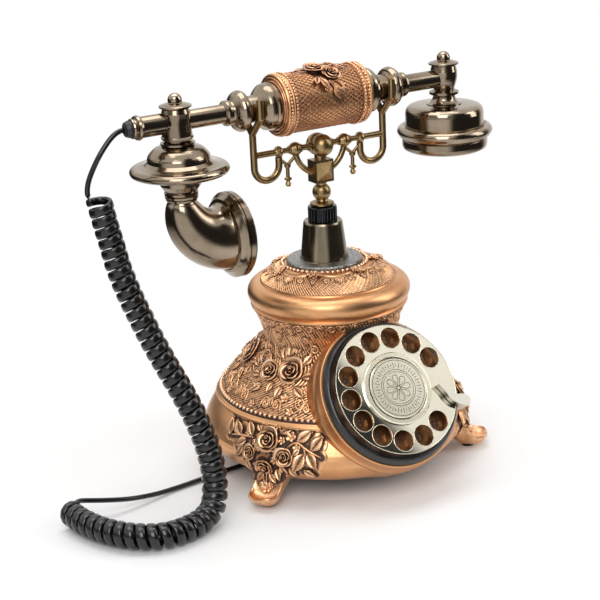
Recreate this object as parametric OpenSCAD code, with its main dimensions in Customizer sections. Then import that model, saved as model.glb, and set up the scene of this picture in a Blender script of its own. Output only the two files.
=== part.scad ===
// Rotary telephone in an antique style: a cast body on three feet with a tilted dial, a turned
// stem with a bar cradle, and a level handset with a horn mouthpiece and a flat earpiece.
// The stem's axis is the building axis; the last step moves the whole telephone so that its
// box, cord left out, stands centred on the origin. Front is -Y, mouthpiece is -X.

/* [Body] */
// How far the body's axis lies in front of the stem's axis
body_offset = 3.5; // [1:0.5:5]
// Height of the casting's bottom edge above the table
base_z = 11.5; // [10:0.5:13]
// Radius of the bottom edge
base_r = 66.5; // [65:0.5:68]
// Radius of the belly
belly_r = 78; // [76:0.5:80]
// Height of the belly's widest line
belly_z = 25; // [24:0.5:27]
// Radius of the ridge between belly and lace slope
ridge_r = 69.6; // [68.5:0.2:71]
// Height of that ridge
ridge_z = 44.2; // [43:0.2:46]
// Radius of the waist
waist_r = 39.2; // [37.6:0.2:40.5]
// Height of the waist
waist_z = 81; // [79:0.5:83]
// Radius of the round collar
collar_r = 47.8; // [46:0.2:50]
// Height of the collar's widest line
collar_z = 105; // [104:0.2:106]
// Radius where the dome meets the collar
dome_r = 40.2; // [39:0.2:42]
// Height of the flat top that carries the stem
top_z = 120; // [119:0.5:123]
// Radius of the flat top
top_r = 26.6; // [26:0.2:28]
// Thickness of the cast wall, measured level
wall = 5.4; // [4.8:0.1:6]

/* [Feet] */
// How far a foot's toe reaches past the belly
foot_out = 14.6; // [11:0.2:16]
// Width of a foot
foot_w = 18.6; // [16:0.2:22]
// Height of the toe's upturned tip
toe_h = 9.4; // [8.6:0.2:11]
// Thickness of a foot's raised rim
foot_rim = 1.8; // [1.4:0.1:2.2]
// Angle between a front foot and straight sideways, in degrees
foot_turn = 30; // [26:1:34]
// Radius of a rubber foot pad
pad_r = 3.6; // [3:0.2:4]
// Thickness of a rubber foot pad
pad_t = 1; // [0.6:0.1:1.6]

/* [Base plate] */
// Radius of the base plate
plate_r = 60.5; // [59.5:0.1:61]
// Thickness of the base plate
plate_t = 2.4; // [1.6:0.2:3]
// Radius of a base screw's head
screw_head_r = 2.8; // [2.2:0.1:3.2]
// Radius of a base screw's shank
screw_r = 1.4; // [1:0.1:1.8]

/* [Dial] */
// Lean of the dial back from upright, in degrees
dial_tilt = 34.9; // [33:0.5:37]
// Distance of the finger wheel's face in front of the stem
dial_y = 73.3; // [72:0.2:75]
// Height of the finger wheel's centre
dial_z = 62.7; // [62:0.2:64]
// Radius of the circle of finger holes
hole_pitch_r = 30; // [28.6:0.1:30.6]
// Metal left between two finger holes
hole_gap = 0.95; // [0.8:0.05:2]
// Rim of the finger wheel outside the holes
wheel_edge = 1.6; // [1:0.1:1.8]
// Thickness of the finger wheel
wheel_t = 1.6; // [1:0.1:2]
// Number of finger holes
hole_count = 12; // [10:1:12]
// Metal left between the finger holes and the hub's raised rim
hub_gap = 2.7; // [2.2:0.1:3.4]
// Width of the hub's raised rim
hub_w = 3.5; // [3.1:0.1:5]
// Travel of the hands-free button
button_travel = 1.5; // [1:0.1:1.8]
// Width of the glossy dial ring
ring_w = 3.5; // [2.9:0.1:4.1]
// Depth of the number plate below the wheel's face
plate_depth = 5; // [4.6:0.1:6]
// Thickness of the finger stop above the wheel
stop_h = 3.9; // [3:0.1:6]

/* [Dial works] */
// Teeth on the dial's main gear
gear_teeth = 40; // [36:1:42]
// Teeth on the governor's pinion
pinion_teeth = 12; // [10:1:14]
// Size of the gear teeth, pitch diameter over teeth
gear_module = 1; // [0.9:0.05:1.1]
// Thickness of the gears
gear_t = 2.4; // [1.6:0.2:3]
// Radius of the dial's hollow shaft
shaft_r = 5; // [4.4:0.1:5.6]
// Radius of the hands-free button's stem
stem_r = 2.5; // [1.8:0.1:2.8]

/* [Stem] */
// Radius of the speckled plate under the stem
flange_r = 22.4; // [20:0.2:23]
// Thickness of that plate
flange_t = 2.6; // [2:0.2:3.4]
// Radius of the stem cup at its foot
cup_foot_r = 13.8; // [13:0.1:15]
// Radius of the stem cup at its top
cup_top_r = 11.5; // [10.8:0.1:12.4]
// Height of the stem cup
cup_h = 22.4; // [21:0.2:24]
// Radius of the knurled ring
knurl_r = 8.5; // [8:0.1:9.2]
// Height of the knurled ring
knurl_h = 10.3; // [9:0.1:11]
// Number of knurls
knurls = 28; // [20:1:32]
// Radius of the plunger rod
rod_r = 3; // [2.4:0.1:3.4]
// How far the cradle rises when the handset is lifted
cradle_rise = 4; // [3:0.1:4.5]

/* [Cradle] */
// Distance between the two forks
fork_span = 86.6; // [84:0.2:88]
// Radius of the fork and bar rods
bar_r = 2; // [1.7:0.1:2.3]
// Height of the bar above the block
bar_gap = 8.4; // [8:0.1:9]
// Radius of the low ball under the block
ball_r = 5.4; // [5:0.1:6]
// Width of the block with the pyramids
block_w = 12; // [11:0.2:13]
// Depth of that block
block_d = 9; // [8:0.2:10]
// Radius of the ball where the bar crosses
hub_ball_r = 6.5; // [6:0.1:7]
// Radius of the bend in each fork's hanging loop
loop_r = 8; // [7:0.1:8.6]
// Radius of the two arches between bar and block
arch_r = 16.4; // [15.6:0.1:17]
// Reach of a fork's prongs in front of and behind the bar
prong_y = 10.4; // [10.2:0.1:11.4]
// Rise of the prongs' tips above the handset's axis
prong_rise = 6.8; // [4:0.2:8]
// Drop from the handset's axis to where a fork's branches part
fork_drop = 14.2; // [13.8:0.1:15]

/* [Handset] */
// Height of the handset's axis above the cradle's bar
handle_rise = 26.8; // [26:0.1:28]
// Offset of the handset's middle from the stem
handle_x = -1; // [-2:0.1:0]
// Half the length of the patterned sleeve
sleeve_half = 28; // [27:0.2:28.6]
// Radius of the sleeve
sleeve_r = 17.2; // [16.4:0.1:18]
// Radius of the collars beside the sleeve
handle_collar_r = 13.6; // [13:0.1:14.4]
// Radius of the groove that rests in a fork
groove_r = 7.6; // [7:0.1:7.8]
// Radius of the bulb outside each groove
bulb_r = 11.6; // [11:0.1:12.4]
// Distance of each bulb outside its fork
bulb_gap = 6.7; // [6.4:0.1:7.6]
// Radius of the handset's arm tubes
arm_r = 5.3; // [4.8:0.1:5.8]
// Distance of the mouth and ear axes from the middle
ear_x = 88.6; // [87.6:0.1:90.6]
// Radius of the bore for the wires
wire_r = 2; // [1.4:0.1:2.4]
// Radius of the barrels at the arm ends
barrel_r = 8; // [7.6:0.1:8.6]
// Lift of the handset shown by its joint
handset_lift = 80; // [60:1:100]

/* [Mouthpiece] */
// Radius of the wide disc under the dome
disc_r = 27.6; // [25:0.1:29]
// Drop from the handset's axis to the disc's widest line
disc_drop = 26.3; // [25.2:0.1:27.2]
// Radius of the dome on the disc
dome_top_r = 17; // [15:0.1:18]
// Drop from the handset's axis to where the elbow starts
elbow_start_drop = 43.7; // [42.6:0.1:45]
// How far the elbow reaches towards the stem
elbow_reach = 23.2; // [22:0.1:25]
// How far the elbow drops to the horn's axis
elbow_drop = 25.3; // [24.4:0.1:27]
// Radius of the elbow tube at its start
elbow_start_r = 7.6; // [7:0.1:8]
// Radius of the elbow tube at the horn
elbow_end_r = 19; // [17.6:0.1:20]
// Radius of the horn's ring
horn_r = 24.4; // [23.6:0.1:26]
// Length of the horn's ring
horn_l = 7.8; // [7:0.1:9.4]

/* [Earpiece] */
// Radius of the earpiece body
ear_r = 23.5; // [22.4:0.1:24.2]
// Drop from the handset's axis to the earpiece body's top
ear_top_drop = 15.4; // [14.8:0.1:16]
// Radius of the round rim
rim_r = 28.6; // [27.4:0.1:29.4]
// Drop from the handset's axis to the rim's widest line
rim_drop = 31.5; // [30.6:0.1:32.4]
// Radius of the ear cap under the rim
ear_cap_r = 25.6; // [24.6:0.1:26.4]
// Drop from the handset's axis to the earpiece's lower face
ear_low_drop = 42.8; // [42:0.1:43.6]

/* [Cord] */
// Thickness of the plain cord
lead_d = 3; // [2.4:0.1:3.4]
// Outer diameter of the curly cord's coil
coil_d = 15; // [14:0.2:16]

/* [Hidden] */
$fn = 96;
fit = 0.05;        // running clearance all round a shaft
seat = 0.02;       // clearance of a part pressed or bonded into another
air = 0.3;         // gap between bodies that pass each other
e = 0.01;          // how far a cutter passes the face it cuts

copper = [0.76, 0.48, 0.31];
nickel = [0.62, 0.58, 0.52];
brass = [0.58, 0.48, 0.30];
pewter = [0.42, 0.43, 0.44];
black = [0.06, 0.06, 0.07];
champagne = [0.93, 0.90, 0.80];
bronze = [0.25, 0.15, 0.09];
steel = [0.70, 0.71, 0.73];

// ---- shared shapes ----

// A smooth line through the given points, with n steps between each two
function curve_at(a, b, c, d, t) =
    0.5 * (2 * b + (c - a) * t + (2 * a - 5 * b + 4 * c - d) * t * t
        + (3 * b - a - 3 * c + d) * t * t * t);
function smooth(p, n) = concat(
    [for (i = [0 : len(p) - 2], k = [0 : n - 1])
        curve_at(p[max(i - 1, 0)], p[i], p[i + 1], p[min(i + 2, len(p) - 1)], k / n)],
    [p[len(p) - 1]]);
function unit(v) = v / norm(v);
function arc(c, r, a0, a1, n) =
    [for (k = [0 : n]) c + r * [cos(a0 + (a1 - a0) * k / n), sin(a0 + (a1 - a0) * k / n)]];

// A tube along a path of points, with a radius for each point
module sweep(path, radii, sides) {
    last = len(path) - 1;
    tangent = [for (i = [0 : last]) unit(path[min(i + 1, last)] - path[max(i - 1, 0)])];
    across = function(n, t) unit(n - (n * t) * t);
    start = across(abs(tangent[0].y) < 0.9 ? [0, 1, 0] : [1, 0, 0], tangent[0]);
    normal = [for (i = 0, n = start; i <= last; i = i + 1, n = i <= last ? across(n, tangent[i]) : n) n];
    points = [for (i = [0 : last], k = [0 : sides - 1])
        path[i] + radii[i] * (cos(360 * k / sides) * normal[i]
            + sin(360 * k / sides) * cross(tangent[i], normal[i]))];
    sides_faces = [for (i = [0 : last - 1], k = [0 : sides - 1])
        let (m = (k + 1) % sides, a = i * sides, b = a + sides) [a + k, b + k, b + m, a + m]];
    polyhedron(points, concat(sides_faces,
        [[for (k = [0 : sides - 1]) k]],
        [[for (k = [sides - 1 : -1 : 0]) last * sides + k]]));
}

// A turned piece from an outline of [radius, height] points
module turned(outline) {
    rotate_extrude() polygon(outline);
}

// A ring or tube between two heights
module tube(r_out, r_in, z0, z1) {
    rotate_extrude() polygon([[r_in, z0], [r_out, z0], [r_out, z1], [r_in, z1]]);
}

module rod(r, z0, z1) {
    translate([0, 0, z0]) cylinder(r = r, h = z1 - z0);
}

// A straight round rod between two points
module strut(a, b, r) {
    d = b - a;
    translate(a) rotate([0, acos(d.z / norm(d)), atan2(d.y, d.x)]) cylinder(r = r, h = norm(d), $fn = 48);
}

module at_body() { translate([0, -body_offset, 0]) children(); }
module at_dial() { translate([0, -dial_y, dial_z]) rotate([90 - dial_tilt, 0, 0]) children(); }
module at_handle() { translate([handle_x, 0, handle_z]) rotate([0, 90, 0]) children(); }
module at_mouth() { translate([handle_x - ear_x, 0, 0]) children(); }
module at_ear() { translate([handle_x + ear_x, 0, 0]) children(); }

// ---- body ----

// the dial grows from its finger holes: wheel, hub, button and ring
hole_step = 360 / 14;
hole_r = hole_pitch_r * sin(hole_step / 2) - hole_gap / 2;
wheel_r = hole_pitch_r + hole_r + wheel_edge;
groove_r_in = wheel_r + 0.9;                    // inner wall of the ring, clear of the wheel
ring_r = groove_r_in + ring_w;
hub_r = hole_pitch_r - hole_r - hub_gap;
button_r = hub_r - hub_w;
foot_reach = belly_r + foot_out;                // from the body's axis to the toe's end

ridge_bump = 1.3;          // radius of the plain ridge
bead_seat = 3.2;           // height of the bead row above the ridge
plinth = arc([base_r, base_z + 3.4], 3.4, -90, -50, 3);
belly_line = smooth([
    [base_r + 2.2, base_z + 0.8],
    [belly_r - 3.2, (base_z + belly_z) / 2 - 1.6],
    [belly_r, belly_z],
    [(belly_r + ridge_r) / 2 + 0.4, (belly_z + ridge_z) / 2],
    [ridge_r - 0.6, ridge_z - 2.2]], 4);
ridge_line = arc([ridge_r - 0.6, ridge_z - 0.9], ridge_bump, -80, 80, 4);
slope_line = smooth([
    [ridge_r - 3.3, ridge_z + bead_seat],
    [(ridge_r + waist_r) / 2 + 7.8, ridge_z + (waist_z - ridge_z) * 0.225],
    [(ridge_r + waist_r) / 2 - 3.2, ridge_z + (waist_z - ridge_z) * 0.52],
    [waist_r + 1.6, waist_z - 6],
    [waist_r, waist_z],
    [(waist_r + collar_r) / 2 - 0.6, (waist_z + collar_z) / 2 + 0.2],
    [collar_r - 2.6, collar_z - 8.2]], 4);
lip_line = arc([collar_r - 2.4, collar_z - 7.4], 0.9, -80, 70, 3);
collar_line = smooth([
    [collar_r - 2.5, collar_z - 6.2],
    [collar_r - 0.7, collar_z - 3.4],
    [collar_r, collar_z],
    [collar_r - 1.1, collar_z + 3.3],
    [collar_r - 4, collar_z + 5.7],
    [dome_r, collar_z + 6.4]], 4);
dome_line = smooth([
    [dome_r - 0.4, collar_z + 7],
    [(dome_r + top_r) / 2 + 2, top_z - 4.2],
    [top_r, top_z]], 4);
body_line = concat([[0, base_z]], plinth, belly_line, ridge_line, slope_line, lip_line,
    collar_line, dome_line, [[0, top_z]]);

ceiling_z = top_z - 4.5;                        // underside of the body's top
ledge_r = plate_r - 7;                          // inner radius of the ledge over the base plate
ledge_z = base_z + plate_t + 0.6;               // underside of that ledge
ledge_t = 3.2;
screw_circle = plate_r - 3.6;
cavity_line = concat(
    [[0, base_z - 1], [plate_r + fit, base_z - 1], [plate_r + fit, ledge_z], [ledge_r, ledge_z],
        [ledge_r, ledge_z + ledge_t]],
    smooth([
        [belly_r - wall - 3, belly_z - 4],
        [belly_r - wall - 0.6, belly_z + 3],
        [ridge_r - wall, ridge_z - 3],
        [ridge_r - wall - 5, ridge_z + 5],
        [(ridge_r + waist_r) / 2 - wall - 4.4, ridge_z + (waist_z - ridge_z) * 0.5],
        [waist_r - wall + 1, waist_z - 7],
        [waist_r - wall, waist_z],
        [collar_r - wall - 3, collar_z - 6],
        [collar_r - wall - 2, collar_z],
        [dome_r - wall - 2, collar_z + 4]], 3),
    [[top_r - 4, ceiling_z], [0, ceiling_z]]);

// Heights above the wheel's face are positive, along the dial's own axis
lip_h = -8.2;                                   // face of the cast lip round the dial ring
pocket_depth = 20.6;                            // depth of the pocket that takes the dial
boss_depth = 60;
boss_wall = 5;                                  // ledge under the dial, from the ring's edge inwards
flange_in = 2;                                  // the dial's body is this much slimmer than its ring
flange_t_dial = 2;                              // thickness of the ring's flange
boss_line = concat(
    [[0, lip_h]],
    smooth([
        [ring_r + 0.7, lip_h],
        [ring_r + 1.3, lip_h - 0.8],
        [ring_r + 1, lip_h - 3.5],
        [ring_r + 1.1, lip_h - 7],
        [ring_r + 1.8, lip_h - 9]], 3),
    [[ring_r + 1.8, lip_h - 10.4], [ring_r + 1.1, lip_h - 11.2], [ring_r + 1.1, -boss_depth],
        [0, -boss_depth]]);

jack_w = 14;
jack_h = 12;
jack_d = 14;
jack_x = 34;
jack_face_y = 57.5;
jack_z = base_z + 4.6;
bush_r = 6;                                     // outer radius of the plunger's guide bush

module body_shell() {
    color(copper) difference() {
        union() {
            at_body() turned(body_line);
            intersection() {
                at_dial() turned(boss_line);
                translate([-100, -150, base_z]) cube([200, 150, 200]);
            }
        }
        at_body() turned(cavity_line);
        at_dial() rod(ring_r + seat, lip_h - flange_t_dial, 60);
        at_dial() rod(ring_r - flange_in + seat, -pocket_depth, 0);
        intersection() {
            at_dial() rod(ring_r - boss_wall, -boss_depth, 0);
            translate([-100, -150, ledge_z + ledge_t]) cube([200, 150, collar_z - 12 - ledge_z]);
        }
        rod(bush_r + seat, ceiling_z - e, top_z + e);
        at_body() base_screw_places() rod(screw_r + seat, ledge_z - e, ledge_z + ledge_t + e);
        translate([jack_x - jack_w / 2 - seat, jack_face_y - jack_d, jack_z - seat])
            cube([jack_w + 2 * seat, 60, jack_h + 2 * seat]);
    }
}

// ---- feet ----

foot_angles = [180 + foot_turn, 360 - foot_turn, 90];   // front left, front right, rear
pad_reach = foot_reach - 10.6;                  // a pad's centre from the body's axis
foot_half = foot_w / 2;

// Side view of a foot: outward is +X, measured back from the toe's tip
foot_side = concat(
    smooth([[0, toe_h], [-0.6, toe_h - 1.6], [-2.2, toe_h - 4.4], [-4.6, pad_t + 1.4],
        [-7.6, pad_t]], 3),
    [[-15.6, pad_t]],
    smooth([[-19.6, 4.1], [-22.6, 6.6], [-29, base_z + 2]], 3),
    [[-29, belly_z - 1], [-15.2, belly_z - 1]],
    smooth([[-14.8, belly_z - 5.5], [-13.6, 15.5], [-12.6, 13], [-9.6, 9.2], [-6.6, toe_h - 1.2],
        [-3.6, toe_h - 0.8], [-0.6, toe_h]], 3));

// Side view of the hollow between a foot's rims
foot_floor = concat(
    [[-15.6, 60], [-15.6, belly_z - 3]],
    smooth([[-14.4, 17], [-11.6, 10], [-8.6, 6.6], [-5.6, 5.4], [-3.6, 6.3], [-foot_rim, toe_h]], 3),
    [[-foot_rim, 60]]);

// Half of the foot seen from its toe: rounded below, wider where it meets the belly
foot_flare = 4.4;
foot_front = [[foot_half + foot_flare, 60], [foot_half + foot_flare, belly_z],
    [foot_half + 2, belly_z - 4.5], [foot_half + 0.7, belly_z - 8], [foot_half, belly_z - 12],
    [foot_half, 8.4], [foot_half - 0.8, 5.2], [foot_half - 2.6, 2.6], [foot_half - 5.3, pad_t]];

// Seen from above: straight sides and a round toe, drawn in from the edge
module foot_plan(inset) {
    translate([foot_reach - foot_half, 0]) circle(foot_half - inset);
    translate([belly_r / 2, inset - foot_half])
        square([foot_reach - foot_half - belly_r / 2, foot_w - 2 * inset]);
}
module foot(angle) {
    color(copper) at_body() difference() {
        rotate([0, 0, angle]) difference() {
            intersection() {
                rotate([90, 0, 90]) linear_extrude(foot_reach + 1)
                    polygon(concat(foot_front, [for (k = [len(foot_front) - 1 : -1 : 0])
                        [-foot_front[k].x, foot_front[k].y]]));
                translate([foot_reach, 0, 0]) rotate([90, 0, 0])
                    linear_extrude(foot_w + 2 * foot_flare, center = true) polygon(foot_side);
                linear_extrude(60) union() {
                    foot_plan(0);
                    translate([foot_reach - 40, -foot_half - foot_flare])
                        square([27, foot_w + 2 * foot_flare]);
                }
            }
            intersection() {
                translate([foot_reach, 0, 0]) rotate([90, 0, 0])
                    linear_extrude(foot_w, center = true) polygon(foot_floor);
                linear_extrude(60) foot_plan(foot_rim);
            }
        }
        turned(body_line);
    }
}
module foot_front_left() { foot(foot_angles[0]); }
module foot_front_right() { foot(foot_angles[1]); }
module foot_rear() { foot(foot_angles[2]); }

module foot_pads() {
    color(black) at_body() for (a = foot_angles)
        rotate([0, 0, a]) translate([pad_reach - 1.4, 0, 0]) rod(pad_r, 0, pad_t);
}

// ---- base plate and what stands on it ----

plate_z = ledge_z - plate_t;                    // underside of the plate
plate_top = ledge_z;
gong_x = 25;
gong_y = 14;
gong_r = 19;
gong_z = 34;
gong_h = 12;
coil_y = 44;
coil_z = 30;
board_w = 60;
board_d = 34;
board_y = -26;
board_z = 33;
board_t = 1.6;
speaker_r = 23;
speaker_y = -24;
speaker_h = 13;
gland_x = -34;
gland_y = 10;
gland_r = 5;
post_r = 2.6;

module base_screw_places() {
    for (a = [40, 130, 230, 310]) rotate([0, 0, a]) translate([screw_circle, 0, 0]) children();
}
module board_posts(r, z0, z1) {
    for (x = [-1, 1], y = [-1, 1])
        translate([x * (board_w / 2 - 3), board_y + y * (board_d / 2 - 3), 0]) rod(r, z0, z1);
}
module base_plate() {
    color(black) difference() {
        union() {
            at_body() rod(plate_r, plate_z, plate_top);
            for (x = [-gong_x, gong_x]) translate([x, gong_y, 0]) rod(3, plate_top - e, gong_z);
            for (x = [-7, 7]) translate([x, coil_y, 0]) rod(3, plate_top - e, coil_z);
            board_posts(post_r, plate_top - e, board_z);
        }
        at_body() base_screw_places() rod(screw_r + seat, plate_z - e, plate_top + e);
        translate([gland_x, gland_y, 0]) rod(gland_r + seat, plate_z - e, plate_top + e);
        translate([0, speaker_y, 0]) for (k = [0 : 6])
            rotate([0, 0, k * 60]) translate([k == 6 ? 0 : 9, 0, 0]) rod(2.6, plate_z - e, plate_top + e);
    }
}
module base_screws() {
    color(steel) at_body() base_screw_places() {
        rod(screw_head_r, plate_z - 1, plate_z);
        rod(screw_r, plate_z, ledge_z + ledge_t - 0.4);
    }
}
module circuit_board() {
    color([0.10, 0.35, 0.20]) {
        translate([-board_w / 2, board_y - board_d / 2, board_z]) cube([board_w, board_d, board_t]);
        translate([-12, board_y - 6, board_z + board_t - e]) cube([16, 10, 3]);
        translate([10, board_y - 8, board_z + board_t - e]) cube([7, 15, 3.4]);
        for (x = [-22, 22]) translate([x, board_y + 8, 0]) rod(3, board_z + board_t - e, board_z + 8);
    }
}
module loudspeaker() {
    color([0.25, 0.25, 0.27]) translate([0, speaker_y, plate_top]) turned([
        [0, 2], [speaker_r - 6, 0.8], [speaker_r - 3, 0], [speaker_r, 0], [speaker_r, 2],
        [speaker_r - 3, 2.6], [12, speaker_h - 6], [12, speaker_h], [0, speaker_h]]);
}

yoke_t = 1.6;
pivot_y = coil_y - 9;
pivot_r = 1.2;
clapper_z = 40;
module ringer_coil() {
    color([0.62, 0.36, 0.2]) {
        translate([-11, coil_y - 5, coil_z]) cube([22, 13, yoke_t]);
        translate([-11, coil_y - 5, coil_z + 14]) cube([22, 13, yoke_t]);
        for (x = [-6, 6]) translate([x, coil_y + 1.5, 0]) rod(4.6, coil_z + yoke_t - e, coil_z + 14 + e);
        translate([-5, pivot_y - 3, coil_z + 14]) cube([10, 8, yoke_t]);
        translate([-5, pivot_y - 3, coil_z + 3]) cube([10, 12, yoke_t]);
        translate([0, pivot_y, 0]) rod(pivot_r, coil_z + 3 + yoke_t - e, coil_z + 14 + e);
    }
}
module clapper() {
    hub_low = coil_z + 3 + yoke_t + air;
    hub_high = coil_z + 14 - air;
    color(brass) {
        translate([0, pivot_y, 0]) tube(3, pivot_r + fit, hub_low, hub_high);
        translate([-0.8, gong_y, clapper_z - 1]) cube([1.6, pivot_y - 2.4 - gong_y, 2]);
        translate([0, gong_y, clapper_z]) sphere(3);
    }
}
module gong(side) {
    color(steel) translate([side * gong_x, gong_y, gong_z]) difference() {
        turned(concat([[0, 0], [4, 0]], [[4, gong_h - 5.4]],
            [[gong_r - 6, gong_h - 5.8], [gong_r - 1.4, 1.6], [gong_r - 1.4, 0]],
            [[gong_r, 0], [gong_r, 2.4], [gong_r - 5, gong_h - 3.6], [5, gong_h], [0, gong_h]]));
    }
}
module gong_left() { gong(-1); }
module gong_right() { gong(1); }

module line_jack() {
    color(black) translate([jack_x, jack_face_y, jack_z]) difference() {
        translate([-jack_w / 2, -jack_d, 0]) cube([jack_w, jack_d, jack_h]);
        translate([-5, -10, 2.6]) cube([10, 11, 7]);
    }
}

gland_low = 8.4;                                // where the cord enters the gland
module lead_gland() {
    color(black) translate([gland_x, gland_y, 0]) turned([
        [0, gland_low], [lead_d / 2 + 0.8, gland_low], [gland_r + 0.8, plate_z - 1.4],
        [gland_r + 0.8, plate_z], [gland_r, plate_z], [gland_r, plate_top + 2], [0, plate_top + 2]]);
}

// ---- stem ----

cup_z = top_z + flange_t;
cup_top = cup_z + cup_h;
knurl_z = cup_top - 1.5;                        // the knurled ring sits in a shallow seat
knurl_top = knurl_z + knurl_h;
bush_flange_r = 16;
bush_flange_t = 3;
bush_low = ceiling_z - 11.5;

module stem_flange() {
    color(pewter) turned([[bush_r + seat, top_z], [flange_r, top_z],
        [flange_r, top_z + flange_t - 0.9], [flange_r - 0.9, top_z + flange_t],
        [bush_r + seat, top_z + flange_t]]);
}
module stem_cup() {
    side = smooth([[cup_foot_r + 0.6, cup_z], [cup_foot_r, cup_z + 1.2],
        [(cup_foot_r + cup_top_r) / 2, cup_z + cup_h / 2], [cup_top_r, cup_top - 1]], 3);
    color(nickel) turned(concat([[bush_r + 2.6, cup_z]], side, [[cup_top_r - 0.6, cup_top],
        [knurl_r + seat, cup_top], [knurl_r + seat, knurl_z], [bush_r + seat, knurl_z],
        [bush_r + seat, knurl_z - 4], [bush_r + 2.6, knurl_z - 4]]));
}
module guide_bush() {
    color(steel) turned([[rod_r + fit, bush_low], [bush_r, bush_low], [bush_r, ceiling_z - bush_flange_t],
        [bush_flange_r, ceiling_z - bush_flange_t], [bush_flange_r, ceiling_z], [bush_r, ceiling_z],
        [bush_r, knurl_z], [rod_r + fit, knurl_z]]);
}
module knurled_ring() {
    color(black) difference() {
        turned([[rod_r + air, knurl_z], [knurl_r - 0.5, knurl_z], [knurl_r, knurl_z + 0.5],
            [knurl_r, knurl_top - 0.6], [knurl_r - 0.6, knurl_top], [rod_r + air, knurl_top]]);
        for (k = [0 : knurls - 1]) rotate([0, 0, k * 360 / knurls])
            translate([knurl_r + 0.35, 0, 0]) cylinder(r = 0.75, h = knurl_top - 0.9, $fn = 16);
    }
}

// The plunger, the lever under it and the switch it works
plunger_low = bush_low - 16;
lever_pivot_x = 8.5;
lever_pivot_r = 1.5;
lever_hub_r = 3.2;
lever_t = 2;
lever_arm = 16.5;
lever_arm_w = 6;
lever_top = 1.7;                                // the arm's upper face above the pivot
lever_z = plunger_low - air - lever_top;        // height of the lever's pivot
switch_x = 12;                                  // the bracket's face beside the lever
switch_t = 3;
switch_w = 18;
switch_low = lever_z - 10;                      // underside of the switch
switch_box = [14, 10, 6.6];
ear_gap = 3.9;
ear_t = 3;
ear_back = 3.5;                                 // how far an ear passes the pivot
ear_half = 4;
module plunger_rod() {
    color(steel) rod(rod_r, plunger_low, knurl_top + 6);
}
module hook_switch() {
    color(black) {
        translate([switch_x, -switch_w / 2, switch_low])
            cube([switch_t, switch_w, ceiling_z - bush_flange_t - switch_low]);
        translate([switch_x - switch_box[0], -switch_box[1] / 2, switch_low])
            cube([switch_box[0] + e, switch_box[1], switch_box[2]]);
        for (y = [-ear_gap - ear_t, ear_gap])
            translate([lever_pivot_x - ear_back, y, lever_z - ear_half])
                cube([switch_x - lever_pivot_x + ear_back + e, ear_t, 2 * ear_half]);
        translate([lever_pivot_x, 0, lever_z]) rotate([90, 0, 0])
            cylinder(r = lever_pivot_r, h = 2 * ear_gap + 2, center = true);
    }
}
module hook_lever() {
    color(steel) translate([lever_pivot_x, 0, lever_z]) difference() {
        union() {
            rotate([90, 0, 0]) cylinder(r = lever_hub_r, h = 2 * (ear_gap - air), center = true);
            translate([-lever_arm, -lever_arm_w / 2, lever_top - lever_t])
                cube([lever_arm, lever_arm_w, lever_t]);
        }
        rotate([90, 0, 0]) cylinder(r = lever_pivot_r + fit, h = 30, center = true);
    }
}

// ---- dial ----

first_hole = 24.6;
plate_face = -plate_depth;                      // face of the number plate
plate_thick = 1;
floor_top = plate_face - plate_thick;
floor_t = 2.4;
frame_t = 2;
frame_h = -pocket_depth + frame_t;              // front face of the frame plate
hub_wall_r = button_r + 1.6;                    // outer radius of the hub's cup
hub_floor = -3.6;
hub_floor_t = 0.8;
gear_h = floor_top - floor_t - air - gear_t;
gear_pitch_r = gear_teeth * gear_module / 2;
pinion_pitch_r = pinion_teeth * gear_module / 2;
gear_gap = gear_pitch_r + pinion_pitch_r + 0.12;

module dial_housing() {
    crest = smooth([[ring_r, lip_h - 0.4], [ring_r - 0.3, lip_h + 1.6], [ring_r - 1.7, lip_h + 3.5],
        [groove_r_in + 0.8, lip_h + 3.6], [groove_r_in, plate_face - 0.4]], 3);
    color(black) at_dial() turned(concat(
        [[shaft_r + fit, floor_top - floor_t], [groove_r_in - 2, floor_top - floor_t],
            [groove_r_in - 2, frame_h], [ring_r - flange_in, frame_h],
            [ring_r - flange_in, lip_h - flange_t_dial], [ring_r, lip_h - flange_t_dial]],
        crest, [[groove_r_in, floor_top], [shaft_r + fit, floor_top]]));
}
module number_plate() {
    color(bronze) at_dial() tube(groove_r_in - seat, shaft_r + 1, floor_top, plate_face);
}
module dial_frame() {
    color(steel) at_dial() {
        difference() {
            union() {
                rod(ring_r - flange_in - 0.2, -pocket_depth, frame_h);
                rod(shaft_r + 3, frame_h - e, gear_h - air);
                rotate([0, 0, 90]) translate([gear_gap, 0, 0]) rod(3.4, frame_h - e, gear_h - air);
            }
            rod(shaft_r + fit, -pocket_depth - e, gear_h);
            rotate([0, 0, 90]) translate([gear_gap, 0, 0]) rod(1.5 + fit, -pocket_depth - e, gear_h);
        }
    }
}
module finger_wheel() {
    color(champagne) at_dial() difference() {
        tube(wheel_r, hub_wall_r + seat, -wheel_t, 0);
        for (k = [0 : hole_count - 1]) rotate([0, 0, first_hole + k * hole_step])
            translate([hole_pitch_r, 0, 0]) rod(hole_r, -wheel_t - e, e);
    }
}
module wheel_hub() {
    color(champagne) at_dial() turned([
        [stem_r + fit, gear_h - air - 3], [shaft_r, gear_h - air - 3],
        [shaft_r, hub_floor - hub_floor_t], [hub_wall_r, hub_floor - hub_floor_t],
        [hub_wall_r, 0], [hub_r, 0], [hub_r, 1.2], [hub_r - 0.6, 1.8], [button_r + 0.9, 1.8],
        [button_r + 0.4, 1.3], [button_r + 0.4, hub_floor], [stem_r + fit, hub_floor]]);
}
module hands_free_button() {
    color(champagne) at_dial() turned([
        [0, -pocket_depth - 2], [stem_r, -pocket_depth - 2], [stem_r, -0.8], [button_r, -0.8],
        [button_r, 1.5], [button_r - 0.5, 2], [0, 2]]);
}

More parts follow.
